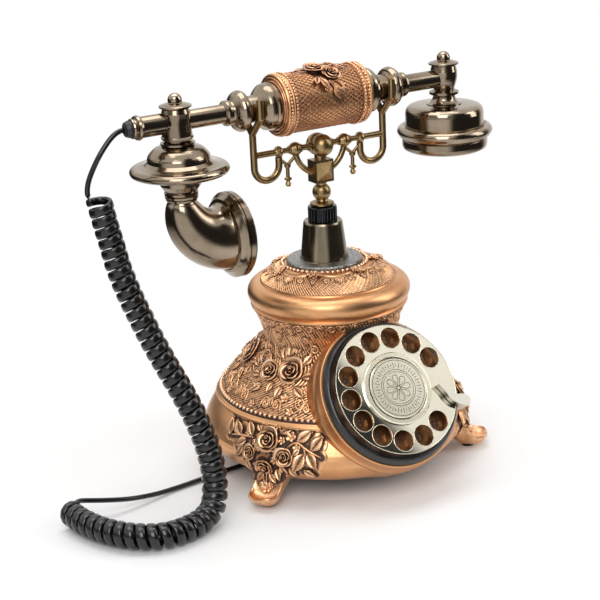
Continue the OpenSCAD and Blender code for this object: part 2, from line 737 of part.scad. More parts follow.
// Involute gear outline
function flank(rb, r) = sqrt(pow(r / rb, 2) - 1) * 180 / PI - acos(rb / r);
module gear_outline(teeth, bore) {
    rp = teeth * gear_module / 2;
    rb = rp * cos(20);
    ro = rp + 0.85 * gear_module;
    rr = rp - 1.15 * gear_module;
    half = 90 / teeth + flank(rb, rp) - 0.09 / rp * 180 / PI;
    radii = [for (k = [0 : 3]) max(rb, rr) + (ro - max(rb, rr)) * k / 3];
    tooth = concat(
        [[rr, half + 0.6]],
        [for (r = radii) [r, half - flank(rb, r)]],
        [for (k = [3 : -1 : 0]) [radii[k], flank(rb, radii[k]) - half]],
        [[rr, -half - 0.6]]);
    difference() {
        polygon([for (t = [0 : teeth - 1], p = tooth)
            p[0] * [cos(t * 360 / teeth - p[1]), sin(t * 360 / teeth - p[1])]]);
        circle(bore);
    }
}
module main_gear() {
    color(brass) at_dial() translate([0, 0, gear_h]) rotate([0, 0, 90])
        linear_extrude(gear_t) gear_outline(gear_teeth, shaft_r + seat);
}
module governor_pinion() {
    color(brass) at_dial() rotate([0, 0, 90]) translate([gear_gap, 0, 0]) {
        translate([0, 0, gear_h]) rotate([0, 0, 180 + 180 / pinion_teeth])
            linear_extrude(gear_t) gear_outline(pinion_teeth, 0.5);
        rod(1.5, -pocket_depth - 4, gear_h + gear_t);
        rod(4.6, -pocket_depth - 6, -pocket_depth - air);
    }
}

stop_base = 0.6;                                // clear of the wheel
stop_root_h = lip_h + 3.8;                      // the stop's root stands on the ring's crest
stop_post_r = 1.7;
stop_turn = -24.8;                              // place of the post, round the dial
stop_scale = (ring_r - hub_r) / 21.1;
// The stop from above: distance past the hub's rim, and angle, round its curved outline
stop_points = [[3.6, -10.2], [4.6, -8.8], [6, -9.4], [8.4, -15.4], [11.1, -19.8], [13.7, -20.9],
    [17.5, -19.8], [20.2, -19.9], [22.2, -21.2], [23.2, -23], [23.3, -24.9], [22.7, -27.6],
    [21.6, -28.8], [18.1, -29.2], [13.9, -28.7], [10.2, -25.5], [7.4, -19.5], [4.9, -14], [3.6, -10.2]];
stop_curve = smooth([for (p = stop_points) (hub_r + p[0] * stop_scale) * [cos(p[1]), sin(p[1])]], 3);
module stop_outline() {
    polygon([for (k = [0 : len(stop_curve) - 2]) stop_curve[k]]);
}
module finger_stop() {
    color(steel) at_dial() {
        translate([0, 0, stop_base]) linear_extrude(stop_h) stop_outline();
        translate([0, 0, stop_root_h]) linear_extrude(stop_base - stop_root_h + e) difference() {
            stop_outline();
            circle(groove_r_in + 0.4);
        }
        rotate([0, 0, stop_turn]) translate([groove_r_in + 0.6 + stop_post_r, 0, 0])
            rod(stop_post_r, lip_h + 0.6, stop_root_h + e);
    }
}

// ---- cradle ----

post_low = knurl_top + air;
ball_z = post_low + 7.8;
block_low = ball_z + ball_r + 1;
block_h = 13.1;
block_top = block_low + block_h;
pyramid = 3.6;
fork_x = fork_span / 2;
bar_z = block_top + bar_gap;                    // height of the bar's axis
handle_z = bar_z + handle_rise;                 // height of the handset's axis
fork_low = handle_z - fork_drop;                // where a fork's two branches part
prong_top = handle_z + prong_rise;
bulb_x = fork_x + bulb_gap;
loop_z = bar_z - 7.2;                           // centre height of the hanging loops
loop_x = fork_x - loop_r;

module cradle_post() {
    color(brass) difference() {
        turned(concat(
            [[0, post_low], [6.4, post_low], [7, post_low + 0.7], [7, post_low + 1.5], [6, post_low + 2]],
            smooth([[4.2, post_low + 2.3], [3.4, post_low + 2.8]], 2),
            arc([0, ball_z], ball_r, -54, 56, 12),
            [[3.2, block_low - 0.8], [4.2, block_low], [0, block_low]]));
        rod(rod_r + seat, post_low - e, knurl_top + 6);
    }
}
module cradle_block() {
    hub_y = 2.6;
    color(brass) difference() {
        union() {
            translate([-block_w / 2, -block_d / 2, block_low]) cube([block_w, block_d, block_h]);
            for (s = [-1, 1]) translate([0, s * block_d / 2, block_low + block_h / 2])
                rotate([-s * 90, 0, 0]) rotate([0, 0, 45])
                    cylinder(r1 = (block_w - 1.6) / sqrt(2), r2 = 0, h = pyramid, $fn = 4);
            rod(3.4, block_top - e, bar_z);
            for (s = [-1, 1]) translate([0, s * hub_y, bar_z]) sphere(hub_ball_r);
            translate([0, 0, bar_z]) rotate([90, 0, 0])
                cylinder(r = hub_ball_r - 0.6, h = 2 * hub_y, center = true);
            for (s = [0, 180]) rotate([0, 0, s]) translate([0, 0, bar_z]) rotate([90, 0, 0])
                rotate_extrude(angle = -85) translate([arch_r, 0]) circle(1.7, $fn = 32);
        }
        // the bar's two halves enter the hub ball
        for (s = [-1, 1]) translate([s * (hub_ball_r - 2), 0, bar_z]) rotate([0, s * 90, 0])
            cylinder(r = 1.6 + seat, h = 60);
        for (s = [-1, 1]) translate([s * arch_r, 0, bar_z]) sphere(4.1);
    }
}
module bar_half() {
    // outline along the bar: [radius, distance from the stem]
    start = hub_ball_r - 2;
    turned(concat(
        [[0, start], [1.6, start], [1.6, hub_ball_r + 0.4], [2.5, hub_ball_r + 0.9],
            [2.5, hub_ball_r + 1.7], [1.7, hub_ball_r + 2.2], [1.7, arch_r - 4.4],
            [2.4, arch_r - 4], [2.4, arch_r - 3.4]],
        arc([0, arch_r], 4, -46, 46, 6) ,
        [[2.4, arch_r + 3.4], [2.4, arch_r + 4], [1.6, arch_r + 4.6]],
        [[1.6, loop_x - loop_r - 2.4]],
        arc([1.2, loop_x - loop_r], 2.2, -60, 60, 4),
        [[1.8, loop_x - loop_r + 2.6], [1.8, fork_x - bar_r + 0.4], [0, fork_x - bar_r + 0.4]]));
}
module cradle_bar() {
    color(brass) for (s = [-1, 1])
        translate([0, 0, bar_z]) rotate([0, s * 90, 0]) bar_half();
}
// One fork: prongs above, upright rod, and the loop that hangs under the bar
module fork(side) {
    knee = prong_y + fork_low;                  // height where a branch turns upright
    color(brass) translate([side * fork_x, 0, 0]) {
        rod(bar_r, loop_z, fork_low);
        translate([0, 0, fork_low]) sphere(bar_r, $fn = 48);
        for (s = [-1, 1]) {
            strut([0, 0, fork_low], [0, s * prong_y, knee], bar_r);
            translate([0, s * prong_y, knee]) sphere(bar_r, $fn = 48);
            translate([0, s * prong_y, 0]) rod(bar_r, knee, prong_top);
        }
        translate([-side * loop_r, 0, loop_z]) rotate([90, 0, 0])
            rotate_extrude(angle = -180) translate([loop_r, 0]) circle(bar_r, $fn = 48);
        translate([-side * 2 * loop_r, 0, 0]) rod(bar_r, loop_z, bar_z - 3);
    }
}
module fork_left() { fork(-1); }
module fork_right() { fork(1); }

// The little Y-shaped drop between loop and arch
drop_x = (loop_x - loop_r + arch_r) / 2;
module pendant(side) {
    y_z = bar_z - 8.6;
    reach = (loop_x - loop_r - arch_r) / 2 - 0.6;
    color(brass) translate([side * drop_x, 0, 0]) {
        for (s = [-1, 1]) strut([0, 0, y_z], [s * reach, 0, y_z + 4.2], 1);
        turned([[0, y_z - 12.6], [1.2, y_z - 12.3], [1.8, y_z - 11], [1.2, y_z - 9.8], [1, y_z - 9.2],
            [2.2, y_z - 8.2], [2.2, y_z - 7.6], [1.1, y_z - 6.8], [1.1, y_z - 2],
            [1.9, y_z - 0.8], [1.9, y_z + 0.6], [0, y_z + 1.6]]);
    }
}
module pendant_left() { pendant(-1); }
module pendant_right() { pendant(1); }

// ---- handset ----

tube_r = 6;                                     // inner tube through sleeve and collars
disc_z = handle_z - disc_drop;
elbow_z = handle_z - elbow_start_drop;
ear_top_z = handle_z - ear_top_drop;
rim_z = handle_z - rim_drop;
ear_low_z = handle_z - ear_low_drop;
collar_end = bulb_x + 10.6;                     // outer end of a turned collar
module handle_sleeve() {
    end = sleeve_half;
    color(copper) at_handle() turned(concat(
        [[tube_r + seat, -end]],
        arc([sleeve_r - 0.6, -end + 1.1], 1.1, -90, 60, 4),
        [[sleeve_r - 0.3, -end + 2.4]],
        arc([sleeve_r - 0.6, -end + 4.6], 0.9, -60, 60, 3),
        [[sleeve_r - 0.9, -end + 6], [sleeve_r - 0.6, 0], [sleeve_r - 0.9, end - 6]],
        arc([sleeve_r - 0.6, end - 4.6], 0.9, -60, 60, 3),
        [[sleeve_r - 0.3, end - 2.4]],
        arc([sleeve_r - 0.6, end - 1.1], 1.1, -60, 90, 4),
        [[tube_r + seat, end]]));
}
module handle_tube() {
    color(steel) at_handle() tube(tube_r, wire_r + 2, -bulb_x + 2, bulb_x - 2);
}
// A turned collar, from the sleeve outwards
module handle_collar(side) {
    s = sleeve_half;
    groove_a = fork_x - 4.6;
    groove_b = fork_x + 4.2;
    outline = concat(
        [[tube_r + seat, s], [handle_collar_r - 0.8, s], [handle_collar_r, s + 0.8],
            [handle_collar_r, s + 3.2], [handle_collar_r - 0.6, s + 3.8]],
        smooth([[handle_collar_r - 0.4, s + 4.6], [handle_collar_r - 0.8, s + 7.2],
            [groove_r + 2.6, groove_a - 0.6], [groove_r, groove_a + 1.4]], 3),
        [[groove_r, groove_b - 1]],
        smooth([[groove_r + 1.6, groove_b - 0.2], [bulb_r - 1, bulb_x - 2.6], [bulb_r, bulb_x],
            [bulb_r - 1.6, bulb_x + 3], [arm_r + 1.2, bulb_x + 5]], 3),
        [[arm_r + 0.8, bulb_x + 6], [arm_r + 1.7, bulb_x + 6.6], [arm_r + 1.9, bulb_x + 8],
            [arm_r + 1.7, bulb_x + 9.2], [arm_r + 0.9, collar_end - 0.6], [arm_r + seat, collar_end],
            [arm_r + seat, bulb_x + 4], [wire_r, bulb_x + 4], [wire_r, bulb_x - 2],
            [tube_r + seat, bulb_x - 2]]);
    color(nickel) at_handle() scale([1, 1, side]) turned(outline);
}
module collar_left() { handle_collar(-1); }
module collar_right() { handle_collar(1); }

cap_start = ear_x + 27.1;                       // inner end of the black cord cap
cap_end = cap_start + 4.2;
module mouth_arm() {
    color(nickel) at_handle() scale([1, 1, -1]) turned([
        [wire_r, bulb_x + 4], [arm_r, bulb_x + 4], [arm_r, ear_x + barrel_r - 0.4],
        [arm_r + 0.5, ear_x + barrel_r + 0.2], [arm_r + 0.5, ear_x + 21.6], [arm_r + 1.2, ear_x + 22.2],
        [arm_r + 1.6, ear_x + 23.2], [arm_r + 1.2, ear_x + 24.4], [arm_r - 0.2, ear_x + 25],
        [arm_r - 0.2, ear_x + 25.8], [arm_r + 0.3, ear_x + 26.4], [arm_r, cap_start],
        [wire_r, cap_start]]);
}
module ear_arm() {
    color(nickel) at_handle() tube(arm_r, wire_r, bulb_x + 4, ear_x);
}
module cord_cap() {
    color(black) at_handle() scale([1, 1, -1]) turned([[0, cap_start], [arm_r - 0.6, cap_start],
        [arm_r - 0.6, cap_start + 1.6], [arm_r - 1.4, cap_end - 0.8], [lead_d / 2 + 0.6, cap_end],
        [0, cap_end]]);
}

// The part of both barrels that takes an arm: [radius, height above the handset's axis]
barrel_top = 7.4;
barrel_low = -7.6;
module cross_bore(r, from, to) {
    translate([from, 0, handle_z]) rotate([0, 90, 0]) cylinder(r = r + seat, h = to - from);
}
module mouth_barrel() {
    z = handle_z;
    color(nickel) at_mouth() difference() {
        turned(concat(
            [[0, z + barrel_top], [barrel_r - 0.8, z + barrel_top]],
            smooth([[barrel_r, z + 5], [barrel_r - 0.4, z + 1], [barrel_r + 0.2, z - 5],
                [barrel_r + 0.4, z + barrel_low]], 3),
            [[barrel_r + 1, z - 8.2], [barrel_r + 0.8, z - 9.2], [barrel_r - 0.8, z - 9.8],
                [barrel_r - 0.8, z - 10.4], [barrel_r + 1.6, z - 11.2], [barrel_r + 1.6, z - 12.2],
                [barrel_r, z - 12.8], [0, z - 12.8]]));
        cross_bore(arm_r + 0.5, -30, -barrel_r + 0.2);
        cross_bore(arm_r, -barrel_r, 30);
    }
}
module ear_barrel() {
    z = handle_z;
    color(nickel) at_ear() difference() {
        turned(concat(
            [[0, z + barrel_top], [barrel_r - 0.8, z + barrel_top]],
            smooth([[barrel_r, z + 4], [barrel_r, z], [barrel_r - 1, z - 4], [barrel_r - 2, z - 6.8]], 3),
            [[barrel_r - 0.6, z - 7.4], [barrel_r + 0.8, z - 8], [barrel_r + 0.8, z - 9.4],
                [barrel_r - 1, z - 10]],
            smooth([[barrel_r - 1.4, ear_top_z + 4.6], [barrel_r - 0.9, ear_top_z + 2.8],
                [barrel_r + 0.8, ear_top_z + 1], [barrel_r + 2.6, ear_top_z + 0.4]], 3),
            [[barrel_r + 2.6, ear_top_z], [0, ear_top_z]]));
        cross_bore(arm_r, -30, 0);
    }
}
module arm_finials() {
    z = handle_z + barrel_top;
    color(nickel) for (x = [handle_x - ear_x, handle_x + ear_x]) translate([x, 0, 0])
        turned(concat([[0, z], [barrel_r - 0.4, z], [barrel_r + 1, z + 0.9], [barrel_r + 1, z + 1.6]],
            smooth([[barrel_r, z + 2], [barrel_r - 2.6, z + 2.8], [4, z + 3.1]], 2),
            arc([0, z + 4.4], 4, -16, 80, 8), [[0, z + 8.4]]));
}

disc_low = disc_z - 3;
mouth_disc_line = concat(
    [[0, handle_z - 12.8], [barrel_r + 0.6, handle_z - 12.8]],
    smooth([[barrel_r + 2.4, handle_z - 13.4], [dome_top_r - 3.4, disc_z + 11.7],
        [dome_top_r, disc_z + 8], [dome_top_r + 0.6, disc_z + 4.8]], 4),
    smooth([[dome_top_r + 2.6, disc_z + 3.2], [disc_r - 5, disc_z + 2.4],
        [disc_r - 1.6, disc_z + 1.9], [disc_r, disc_z], [disc_r - 1, disc_z - 2.2],
        [disc_r - 5, disc_low - 0.4], [15, disc_low - 1.4], [11.6, disc_low - 1.6]], 4),
    smooth([[11.4, elbow_z + 8.9], [9.6, elbow_z + 6.3], [8.8, elbow_z + 5.3]], 2),
    [[9.4, elbow_z + 4.7], [9.4, elbow_z + 3.7], [8.6, elbow_z + 3.3], [9.4, elbow_z + 2.7],
        [9.2, elbow_z + 1.7], [8.2, elbow_z + 1.3], [8.9, elbow_z + 0.8], [8.6, elbow_z],
        [0, elbow_z]]);
module mouth_disc() {
    color(nickel) at_mouth() difference() {
        turned(mouth_disc_line);
        turned([[0, elbow_z - e], [wire_r + 2, elbow_z - e], [wire_r + 2, handle_z - 16], [0, handle_z - 16]]);
    }
}

// Elbow: a tapered quarter bend, from pointing down to pointing at +X
elbow_in = 0.6;                                 // straight stretch before the bend
elbow_out = 0.5;                                // straight stretch past the bend
horn_z = elbow_z - elbow_drop;                  // height of the horn's axis
horn_x = handle_x - ear_x + elbow_reach + elbow_out;
elbow_steps = 16;
function elbow_path(over) = concat(
    [[0, 0, elbow_z]],
    [for (k = [0 : elbow_steps]) let (a = 90 * k / elbow_steps)
        [elbow_reach * (1 - cos(a)), 0, elbow_z - elbow_in - (elbow_drop - elbow_in) * sin(a)]],
    [[elbow_reach + elbow_out + over, 0, elbow_z - elbow_drop]]);
function elbow_radii(less) = concat(
    [elbow_start_r - less],
    [for (k = [0 : elbow_steps])
        elbow_start_r + (elbow_end_r - elbow_start_r) * pow(k / elbow_steps, 0.68) - less],
    [elbow_end_r - less]);
module mouth_elbow() {
    color(nickel) at_mouth() difference() {
        sweep(elbow_path(0), elbow_radii(0), 36);
        sweep(concat([[0, 0, elbow_z + 1]], elbow_path(1)), concat([elbow_start_r - 1.8], elbow_radii(1.8)), 20);
    }
}
module at_horn() { translate([horn_x, 0, horn_z]) rotate([0, 90, 0]) children(); }
module mouth_ring() {
    l = horn_l;
    color(nickel) at_horn() turned(concat(
        [[elbow_end_r - 3, 0], [elbow_end_r + 0.6, 0]],
        smooth([[elbow_end_r + 2, 0.4], [horn_r - 2.2, 1.8], [horn_r - 0.5, 3.2]], 3),
        [[horn_r, 3.8], [horn_r, l - 3.4], [horn_r - 0.7, l - 3.2], [horn_r - 0.7, l - 2.6],
            [horn_r, l - 2.4], [horn_r, l + 0.4], [horn_r - 1, l + 1.6], [horn_r - 2.6, l + 2],
            [horn_r - 3.4, l + 1.4], [horn_r - 3.4, l - 3.6], [elbow_end_r - 3, l - 3.6]]));
}
module mouth_grille() {
    color(black) at_horn() difference() {
        rod(horn_r - 3.4 - seat, horn_l - 1.6, horn_l);
        for (ring = [1 : 3], k = [0 : 6 * ring - 1])
            rotate([0, 0, k * 60 / ring]) translate([ring * 5, 0, 0])
                cylinder(r = 1.1, h = 40, $fn = 16);
        cylinder(r = 1.1, h = 40, $fn = 16);
    }
}
module microphone() {
    color(steel) at_horn() rod(elbow_end_r - 3 - seat, 0.6, horn_l - 1.8);
}

cap_top = rim_z - 3.4;
module ear_body() {
    color(nickel) at_ear() turned(concat(
        [[0, ear_top_z]],
        smooth([[12, ear_top_z], [ear_r - 4, ear_top_z - 0.6], [ear_r - 1, ear_top_z - 2.3],
            [ear_r, ear_top_z - 5.2]], 4),
        [[ear_r, rim_z + 3], [ear_r - 0.8, rim_z + 2.8], [ear_r - 0.8, cap_top],
            [ear_r - 2.6, cap_top], [ear_r - 2.6, ear_top_z - 7], [ear_r - 6, ear_top_z - 4], [0, ear_top_z - 4]]));
}
module ear_rim() {
    color(nickel) at_ear() turned(concat(
        [[ear_r - 0.8 + seat, cap_top], [rim_r - 2.6, cap_top]],
        smooth([[rim_r - 1.4, cap_top + 0.6], [rim_r, rim_z], [rim_r - 1, rim_z + 2.4],
            [rim_r - 3.2, rim_z + 3.4], [ear_r + 0.6, rim_z + 2.4]], 4),
        [[ear_r - 0.8 + seat, rim_z + 2.2]]));
}
module ear_cap() {
    dish = ear_low_z + 3;
    color(nickel) at_ear() difference() {
        turned(concat(
            [[0, dish - 1.4], [9, dish - 0.8], [ear_cap_r - 6, ear_low_z]],
            smooth([[ear_cap_r - 2.4, ear_low_z + 0.2], [ear_cap_r - 0.6, ear_low_z + 1.4],
                [ear_cap_r, ear_low_z + 3.4]], 3),
            [[ear_cap_r, cap_top - 1.2], [ear_cap_r - 0.8, cap_top], [ear_r - 3, cap_top],
                [ear_r - 3, dish + 1.4], [0, dish + 1.4]]));
        for (k = [0 : 6]) rotate([0, 0, k * 60]) translate([k == 6 ? 0 : 5, 0, ear_low_z - 1])
            cylinder(r = 1, h = 10, $fn = 16);
    }
}
module receiver() {
    color(black) at_ear() rod(ear_r - 7, ear_low_z + 4.4, ear_top_z - 8);
}

// ---- cord ----

// The plain lead from the handset's cap to the coil
lead_points = [
    [handle_x - cap_end - air, 0, handle_z], [-123.6, 0, 216.3], [-127, 0, 214.6], [-131, 0, 211],
    [-136, 0, 205], [-140, 1, 198], [-143, 1, 192], [-145, 1, 187], [-145, 1, 184]];
// The middle line of the coil
coil_points = [
    [-138, 1, 181], [-136, 0, 168], [-134, -2, 156], [-132, -4, 143], [-129, -8, 129],
    [-125, -12, 115], [-121, -16, 102], [-116, -22, 87], [-111, -28, 73], [-107, -34, 59],
    [-104, -39, 45], [-103, -43, 32], [-104, -46, 21], [-108, -50, 12], [-116, -54, 8],
    [-128, -58, 7.6], [-142, -58, 7.6], [-155, -50, 7.6], [-165, -36, 7.6], [-171, -19, 7.6],
    [-173, -3, 7.6]];
// The plain lead from the coil, over the table and under the body to its gland
base_points = [
    [-172, -1, 13], [-164, -1, 12], [-150, -3, 9], [-136, -3, 6], [-120, 0, 3], [-104, 3, 1.6],
    [-88, 5, 1.5], [-72, 7, 1.5], [-56, 8, 1.5], [-46, 9, 1.5], [-40, 10, 1.7], [-36, 10, 2.8],
    [gland_x, gland_y, gland_low - 2.6], [gland_x, gland_y, gland_low]];
module cord(points, d, sides, steps) {
    path = smooth(points, steps);
    color(black) sweep(path, [for (p = path) d / 2], sides);
}
module handset_lead() { cord(lead_points, lead_d, 8, 1); }
module cord_coil() { cord(coil_points, coil_d, 12, 1); }
module base_lead() { cord(base_points, lead_d, 8, 1); }

// ---- the whole telephone ----

// The box without the cord, from the stem's axis
box_left = handle_x - cap_end;
box_right = handle_x + ear_x + rim_r;
box_front = min([for (p = concat(boss_line, [[wheel_r, 0]]))
    -dial_y - p.y * cos(dial_tilt) - p.x * sin(dial_tilt)]);
box_rear = foot_reach - body_offset;
module place() {
    translate([-(box_left + box_right) / 2, -(box_front + box_rear) / 2, 0]) children();
}

place() body_shell();
place() foot_front_left();
place() foot_front_right();
place() foot_rear();
place() foot_pads();
place() base_plate();
place() base_screws();
place() circuit_board();
place() loudspeaker();
place() ringer_coil();
place() gong_left();
place() gong_right();
place() clapper();
place() hook_switch();
place() hook_lever();
place() guide_bush();
place() line_jack();
place() lead_gland();
place() stem_flange();
place() stem_cup();
place() knurled_ring();
place() dial_housing();
place() number_plate();
place() dial_frame();
place() finger_stop();
place() finger_wheel();
place() wheel_hub();
place() main_gear();
place() governor_pinion();
place() hands_free_button();
place() plunger_rod();
place() cradle_post();
place() cradle_block();
place() cradle_bar();
place() fork_left();
place() fork_right();
place() pendant_left();
place() pendant_right();
place() handle_sleeve();
place() handle_tube();
place() collar_left();
place() collar_right();
place() mouth_arm();
place() ear_arm();
place() cord_cap();
place() arm_finials();
place() mouth_barrel();
place() mouth_disc();
place() mouth_elbow();
place() mouth_ring();
place() mouth_grille();
place() microphone();
place() ear_barrel();
place() ear_body();
place() ear_rim();
place() ear_cap();
place() receiver();
place() handset_lead();
place() cord_coil();
place() base_lead();
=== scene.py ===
import bpy
import math
import numpy as np
from mathutils import Matrix, Vector
from mathutils.bvhtree import BVHTree
from mathutils.kdtree import KDTree


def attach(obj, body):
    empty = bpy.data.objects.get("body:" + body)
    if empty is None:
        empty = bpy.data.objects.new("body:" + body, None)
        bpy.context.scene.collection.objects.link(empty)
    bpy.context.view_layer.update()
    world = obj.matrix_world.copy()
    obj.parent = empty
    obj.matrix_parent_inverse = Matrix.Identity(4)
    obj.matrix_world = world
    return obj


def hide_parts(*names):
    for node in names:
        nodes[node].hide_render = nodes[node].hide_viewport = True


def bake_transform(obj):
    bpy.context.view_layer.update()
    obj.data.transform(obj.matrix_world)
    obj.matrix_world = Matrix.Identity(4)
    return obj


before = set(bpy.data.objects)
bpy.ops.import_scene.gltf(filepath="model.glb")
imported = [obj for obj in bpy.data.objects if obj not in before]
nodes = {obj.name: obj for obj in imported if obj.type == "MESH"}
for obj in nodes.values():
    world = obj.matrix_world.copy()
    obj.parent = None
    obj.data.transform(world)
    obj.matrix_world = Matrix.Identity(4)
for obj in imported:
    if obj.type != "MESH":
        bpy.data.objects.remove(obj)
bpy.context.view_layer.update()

mm = 0.001
stemX, stemY = 2.35 * mm, 2.9137 * mm  # the stem's axis in the row frame
bodyAhead = 3.5  # the body is turned about an axis this far in front of the stem, in mm


# a point given in mm from the stem's axis
def inFrame(x, y, z):
    return Vector((x * mm + stemX, y * mm + stemY, z * mm))


bodyAxis = inFrame(0, -bodyAhead, 0)


def around(angle):
    a = math.radians(angle)
    return Vector((math.cos(a), math.sin(a), 0))


def deselectAll():
    if bpy.context.object and bpy.context.object.mode != "OBJECT":
        bpy.ops.object.mode_set(mode="OBJECT")
    bpy.ops.object.select_all(action="DESELECT")


def pick(*objects):
    deselectAll()
    for obj in objects:
        obj.select_set(True)
    bpy.context.view_layer.objects.active = objects[0]


def linked(name, data):
    obj = bpy.data.objects.new(name, data)
    bpy.context.collection.objects.link(obj)
    return obj


def meshObject(name, verts, faces):
    mesh = bpy.data.meshes.new(name)
    mesh.from_pydata([tuple(v) for v in verts], [], [tuple(f) for f in faces])
    mesh.validate()
    mesh.polygons.foreach_set("use_smooth", [True] * len(mesh.polygons))
    return linked(name, mesh)


# a new primitive, alone in the selection, its turn and place written into its mesh
def added(addPrimitive, **values):
    deselectAll()
    addPrimitive(**values)
    bpy.ops.object.transform_apply(location=True, rotation=True)
    return bpy.context.object


# a copy of a shape with its own mesh
def copied(shape, matrix):
    copy = linked(shape.name, shape.data.copy())
    copy.data.transform(matrix)
    return copy


# one step in edit mode with everything selected
def editAll(obj, step, **values):
    pick(obj)
    bpy.ops.object.mode_set(mode="EDIT")
    bpy.ops.mesh.select_all(action="SELECT")
    step(**values)
    bpy.ops.object.mode_set(mode="OBJECT")
    return obj


def mendNormals(obj):
    return editAll(obj, bpy.ops.mesh.normals_make_consistent, inside=False)


# moves or scales, in edit mode, the vertices that the test names
def shapeWhere(obj, test, move=None, grow=None, about=(0, 0, 0)):
    pick(obj)
    bpy.ops.object.mode_set(mode="EDIT")
    bpy.ops.mesh.select_mode(type="VERT")
    bpy.ops.mesh.select_all(action="DESELECT")
    bpy.ops.object.mode_set(mode="OBJECT")
    for vert in obj.data.vertices:
        vert.select = bool(test(vert.co))
    bpy.ops.object.mode_set(mode="EDIT")
    if move:
        bpy.ops.transform.translate(value=move)
    if grow:
        bpy.ops.transform.resize(value=grow, center_override=about)
    bpy.ops.object.mode_set(mode="OBJECT")


def shapedBy(obj, kind, **values):
    pick(obj)
    modifier = obj.modifiers.new(kind.lower(), kind)
    for key, value in values.items():
        setattr(modifier, key, value)
    bpy.ops.object.modifier_apply(modifier=modifier.name)
    return obj


def joined(name, parts, smooth=False):
    pick(*parts)
    bpy.ops.object.join()
    obj = parts[0]
    obj.name = obj.data.name = name
    if smooth:
        bpy.ops.object.shade_smooth()
    return obj


# Catmull-Rom line through the points
def smoothLine(points, steps):
    pts = [Vector(p) for p in points]
    line = []
    for i in range(len(pts) - 1):
        a, b = pts[max(i - 1, 0)], pts[i]
        c, d = pts[i + 1], pts[min(i + 2, len(pts) - 1)]
        for k in range(steps):
            t = k / steps
            line.append(0.5 * (2 * b + (c - a) * t + (2 * a - 5 * b + 4 * c - d) * t * t
                               + (3 * b - a - 3 * c + d) * t ** 3))
    return line + [pts[-1]]


# the same line with points an even distance apart
def evenly(line, step):
    gaps = [0.0]
    for p, q in zip(line, line[1:]):
        gaps.append(gaps[-1] + (q - p).length)
    count = max(2, round(gaps[-1] / step))
    out, i = [], 0
    for k in range(count + 1):
        s = gaps[-1] * k / count
        while i < len(gaps) - 2 and gaps[i + 1] < s:
            i += 1
        span = gaps[i + 1] - gaps[i] or 1
        out.append(line[i].lerp(line[i + 1], min(1, (s - gaps[i]) / span)))
    return out


# the way that a line goes at one of its points
def wayAt(line, i):
    return (line[min(i + 1, len(line) - 1)] - line[max(i - 1, 0)]).normalized()


# quads between rings of `count` points, from pairs of ring numbers
def ringFaces(pairs, count):
    own = np.arange(count)
    after = np.roll(own, -1)
    return np.vstack([np.stack([a * count + own, a * count + after, b * count + after, b * count + own],
                               axis=1) for a, b in pairs])


# a tube through rings that follow each other, with both ends closed
def tubeObject(name, verts, count):
    rings = len(verts) // count
    faces = ringFaces([(i, i + 1) for i in range(rings - 1)], count).tolist()
    ends = [range(count - 1, -1, -1), range((rings - 1) * count, rings * count)]
    return meshObject(name, verts, faces + ends)


cameraValues = {
    "azimuth": -29.855, "elevation": 18.735, "roll": -2.719,
    "distance": 927.9, "focal": 1586.0, "offset": (23.83, 55.69),
    "target": (0, 0, 130), "lens": 95.16, "sensor": 36, "clip": (0.05, 20),
}


def makeCamera(v):
    a, e, r = (math.radians(v[k]) for k in ("azimuth", "elevation", "roll"))
    back = Vector((math.sin(a) * math.cos(e), -math.cos(a) * math.cos(e), math.sin(e)))
    right = Vector((math.cos(a), math.sin(a), 0))
    up = back.cross(right)
    right, up = (math.cos(r) * right + math.sin(r) * up, -math.sin(r) * right + math.cos(r) * up)
    distance = v["distance"] * mm
    shiftX, shiftY = (shift * distance / v["focal"] for shift in v["offset"])
    place = inFrame(*v["target"]) - right * shiftX - up * shiftY + back * distance
    data = bpy.data.cameras.new("camera")
    data.lens, data.sensor_width = v["lens"], v["sensor"]
    data.clip_start, data.clip_end = v["clip"]
    cam = linked("camera", data)
    cam.matrix_world = Matrix((
        (right.x, up.x, back.x, place.x),
        (right.y, up.y, back.y, place.y),
        (right.z, up.z, back.z, place.z),
        (0, 0, 0, 1)))
    bpy.context.scene.camera = cam


makeCamera(cameraValues)

# the routes' points are those of the CAD cords, in mm from the stem's axis
cordValues = {
    "leadR": 1.45, "ribbonLong": 2.7, "ribbonFlat": 1.35, "squarer": 0.8,
    "coilR": 5.9, "pitch": 6.0, "sides": 12, "ease": 12,
    "leadGap": 1.0, "coilGap": 0.5, "baseGap": 1.5,
    "lead": [(-121.2, 0, 216.6), (-123.6, 0, 216.3), (-127, 0, 214.6), (-131, 0, 211),
             (-136, 0, 205), (-140, 1, 198), (-143, 1, 192), (-144.2, 1, 187), (-144, 1, 182.5)],
    "coil": [(-138, 1, 181), (-136, 0, 168), (-134, -2, 156), (-132, -4, 143), (-129, -8, 129),
             (-125, -12, 115), (-121, -16, 102), (-116, -22, 87), (-111, -28, 73), (-107, -34, 59),
             (-104, -39, 45), (-103, -43, 32), (-104, -46, 21), (-108, -50, 12), (-116, -54, 8),
             (-128, -58, 7.6), (-142, -58, 7.6), (-155, -50, 7.6), (-165, -36, 7.6),
             (-171, -19, 7.6), (-173, -3, 7.6)],
    "base": [(-164, -1, 12), (-150, -3, 9), (-136, -3, 6), (-120, 0, 3), (-104, 3, 1.6),
             (-88, 5, 1.5), (-72, 7, 1.5), (-56, 8, 1.5), (-46, 9, 1.5), (-40, 10, 1.7),
             (-36, 10, 2.8), (-34, 10, 5.8), (-34, 10, 8.4)],
}


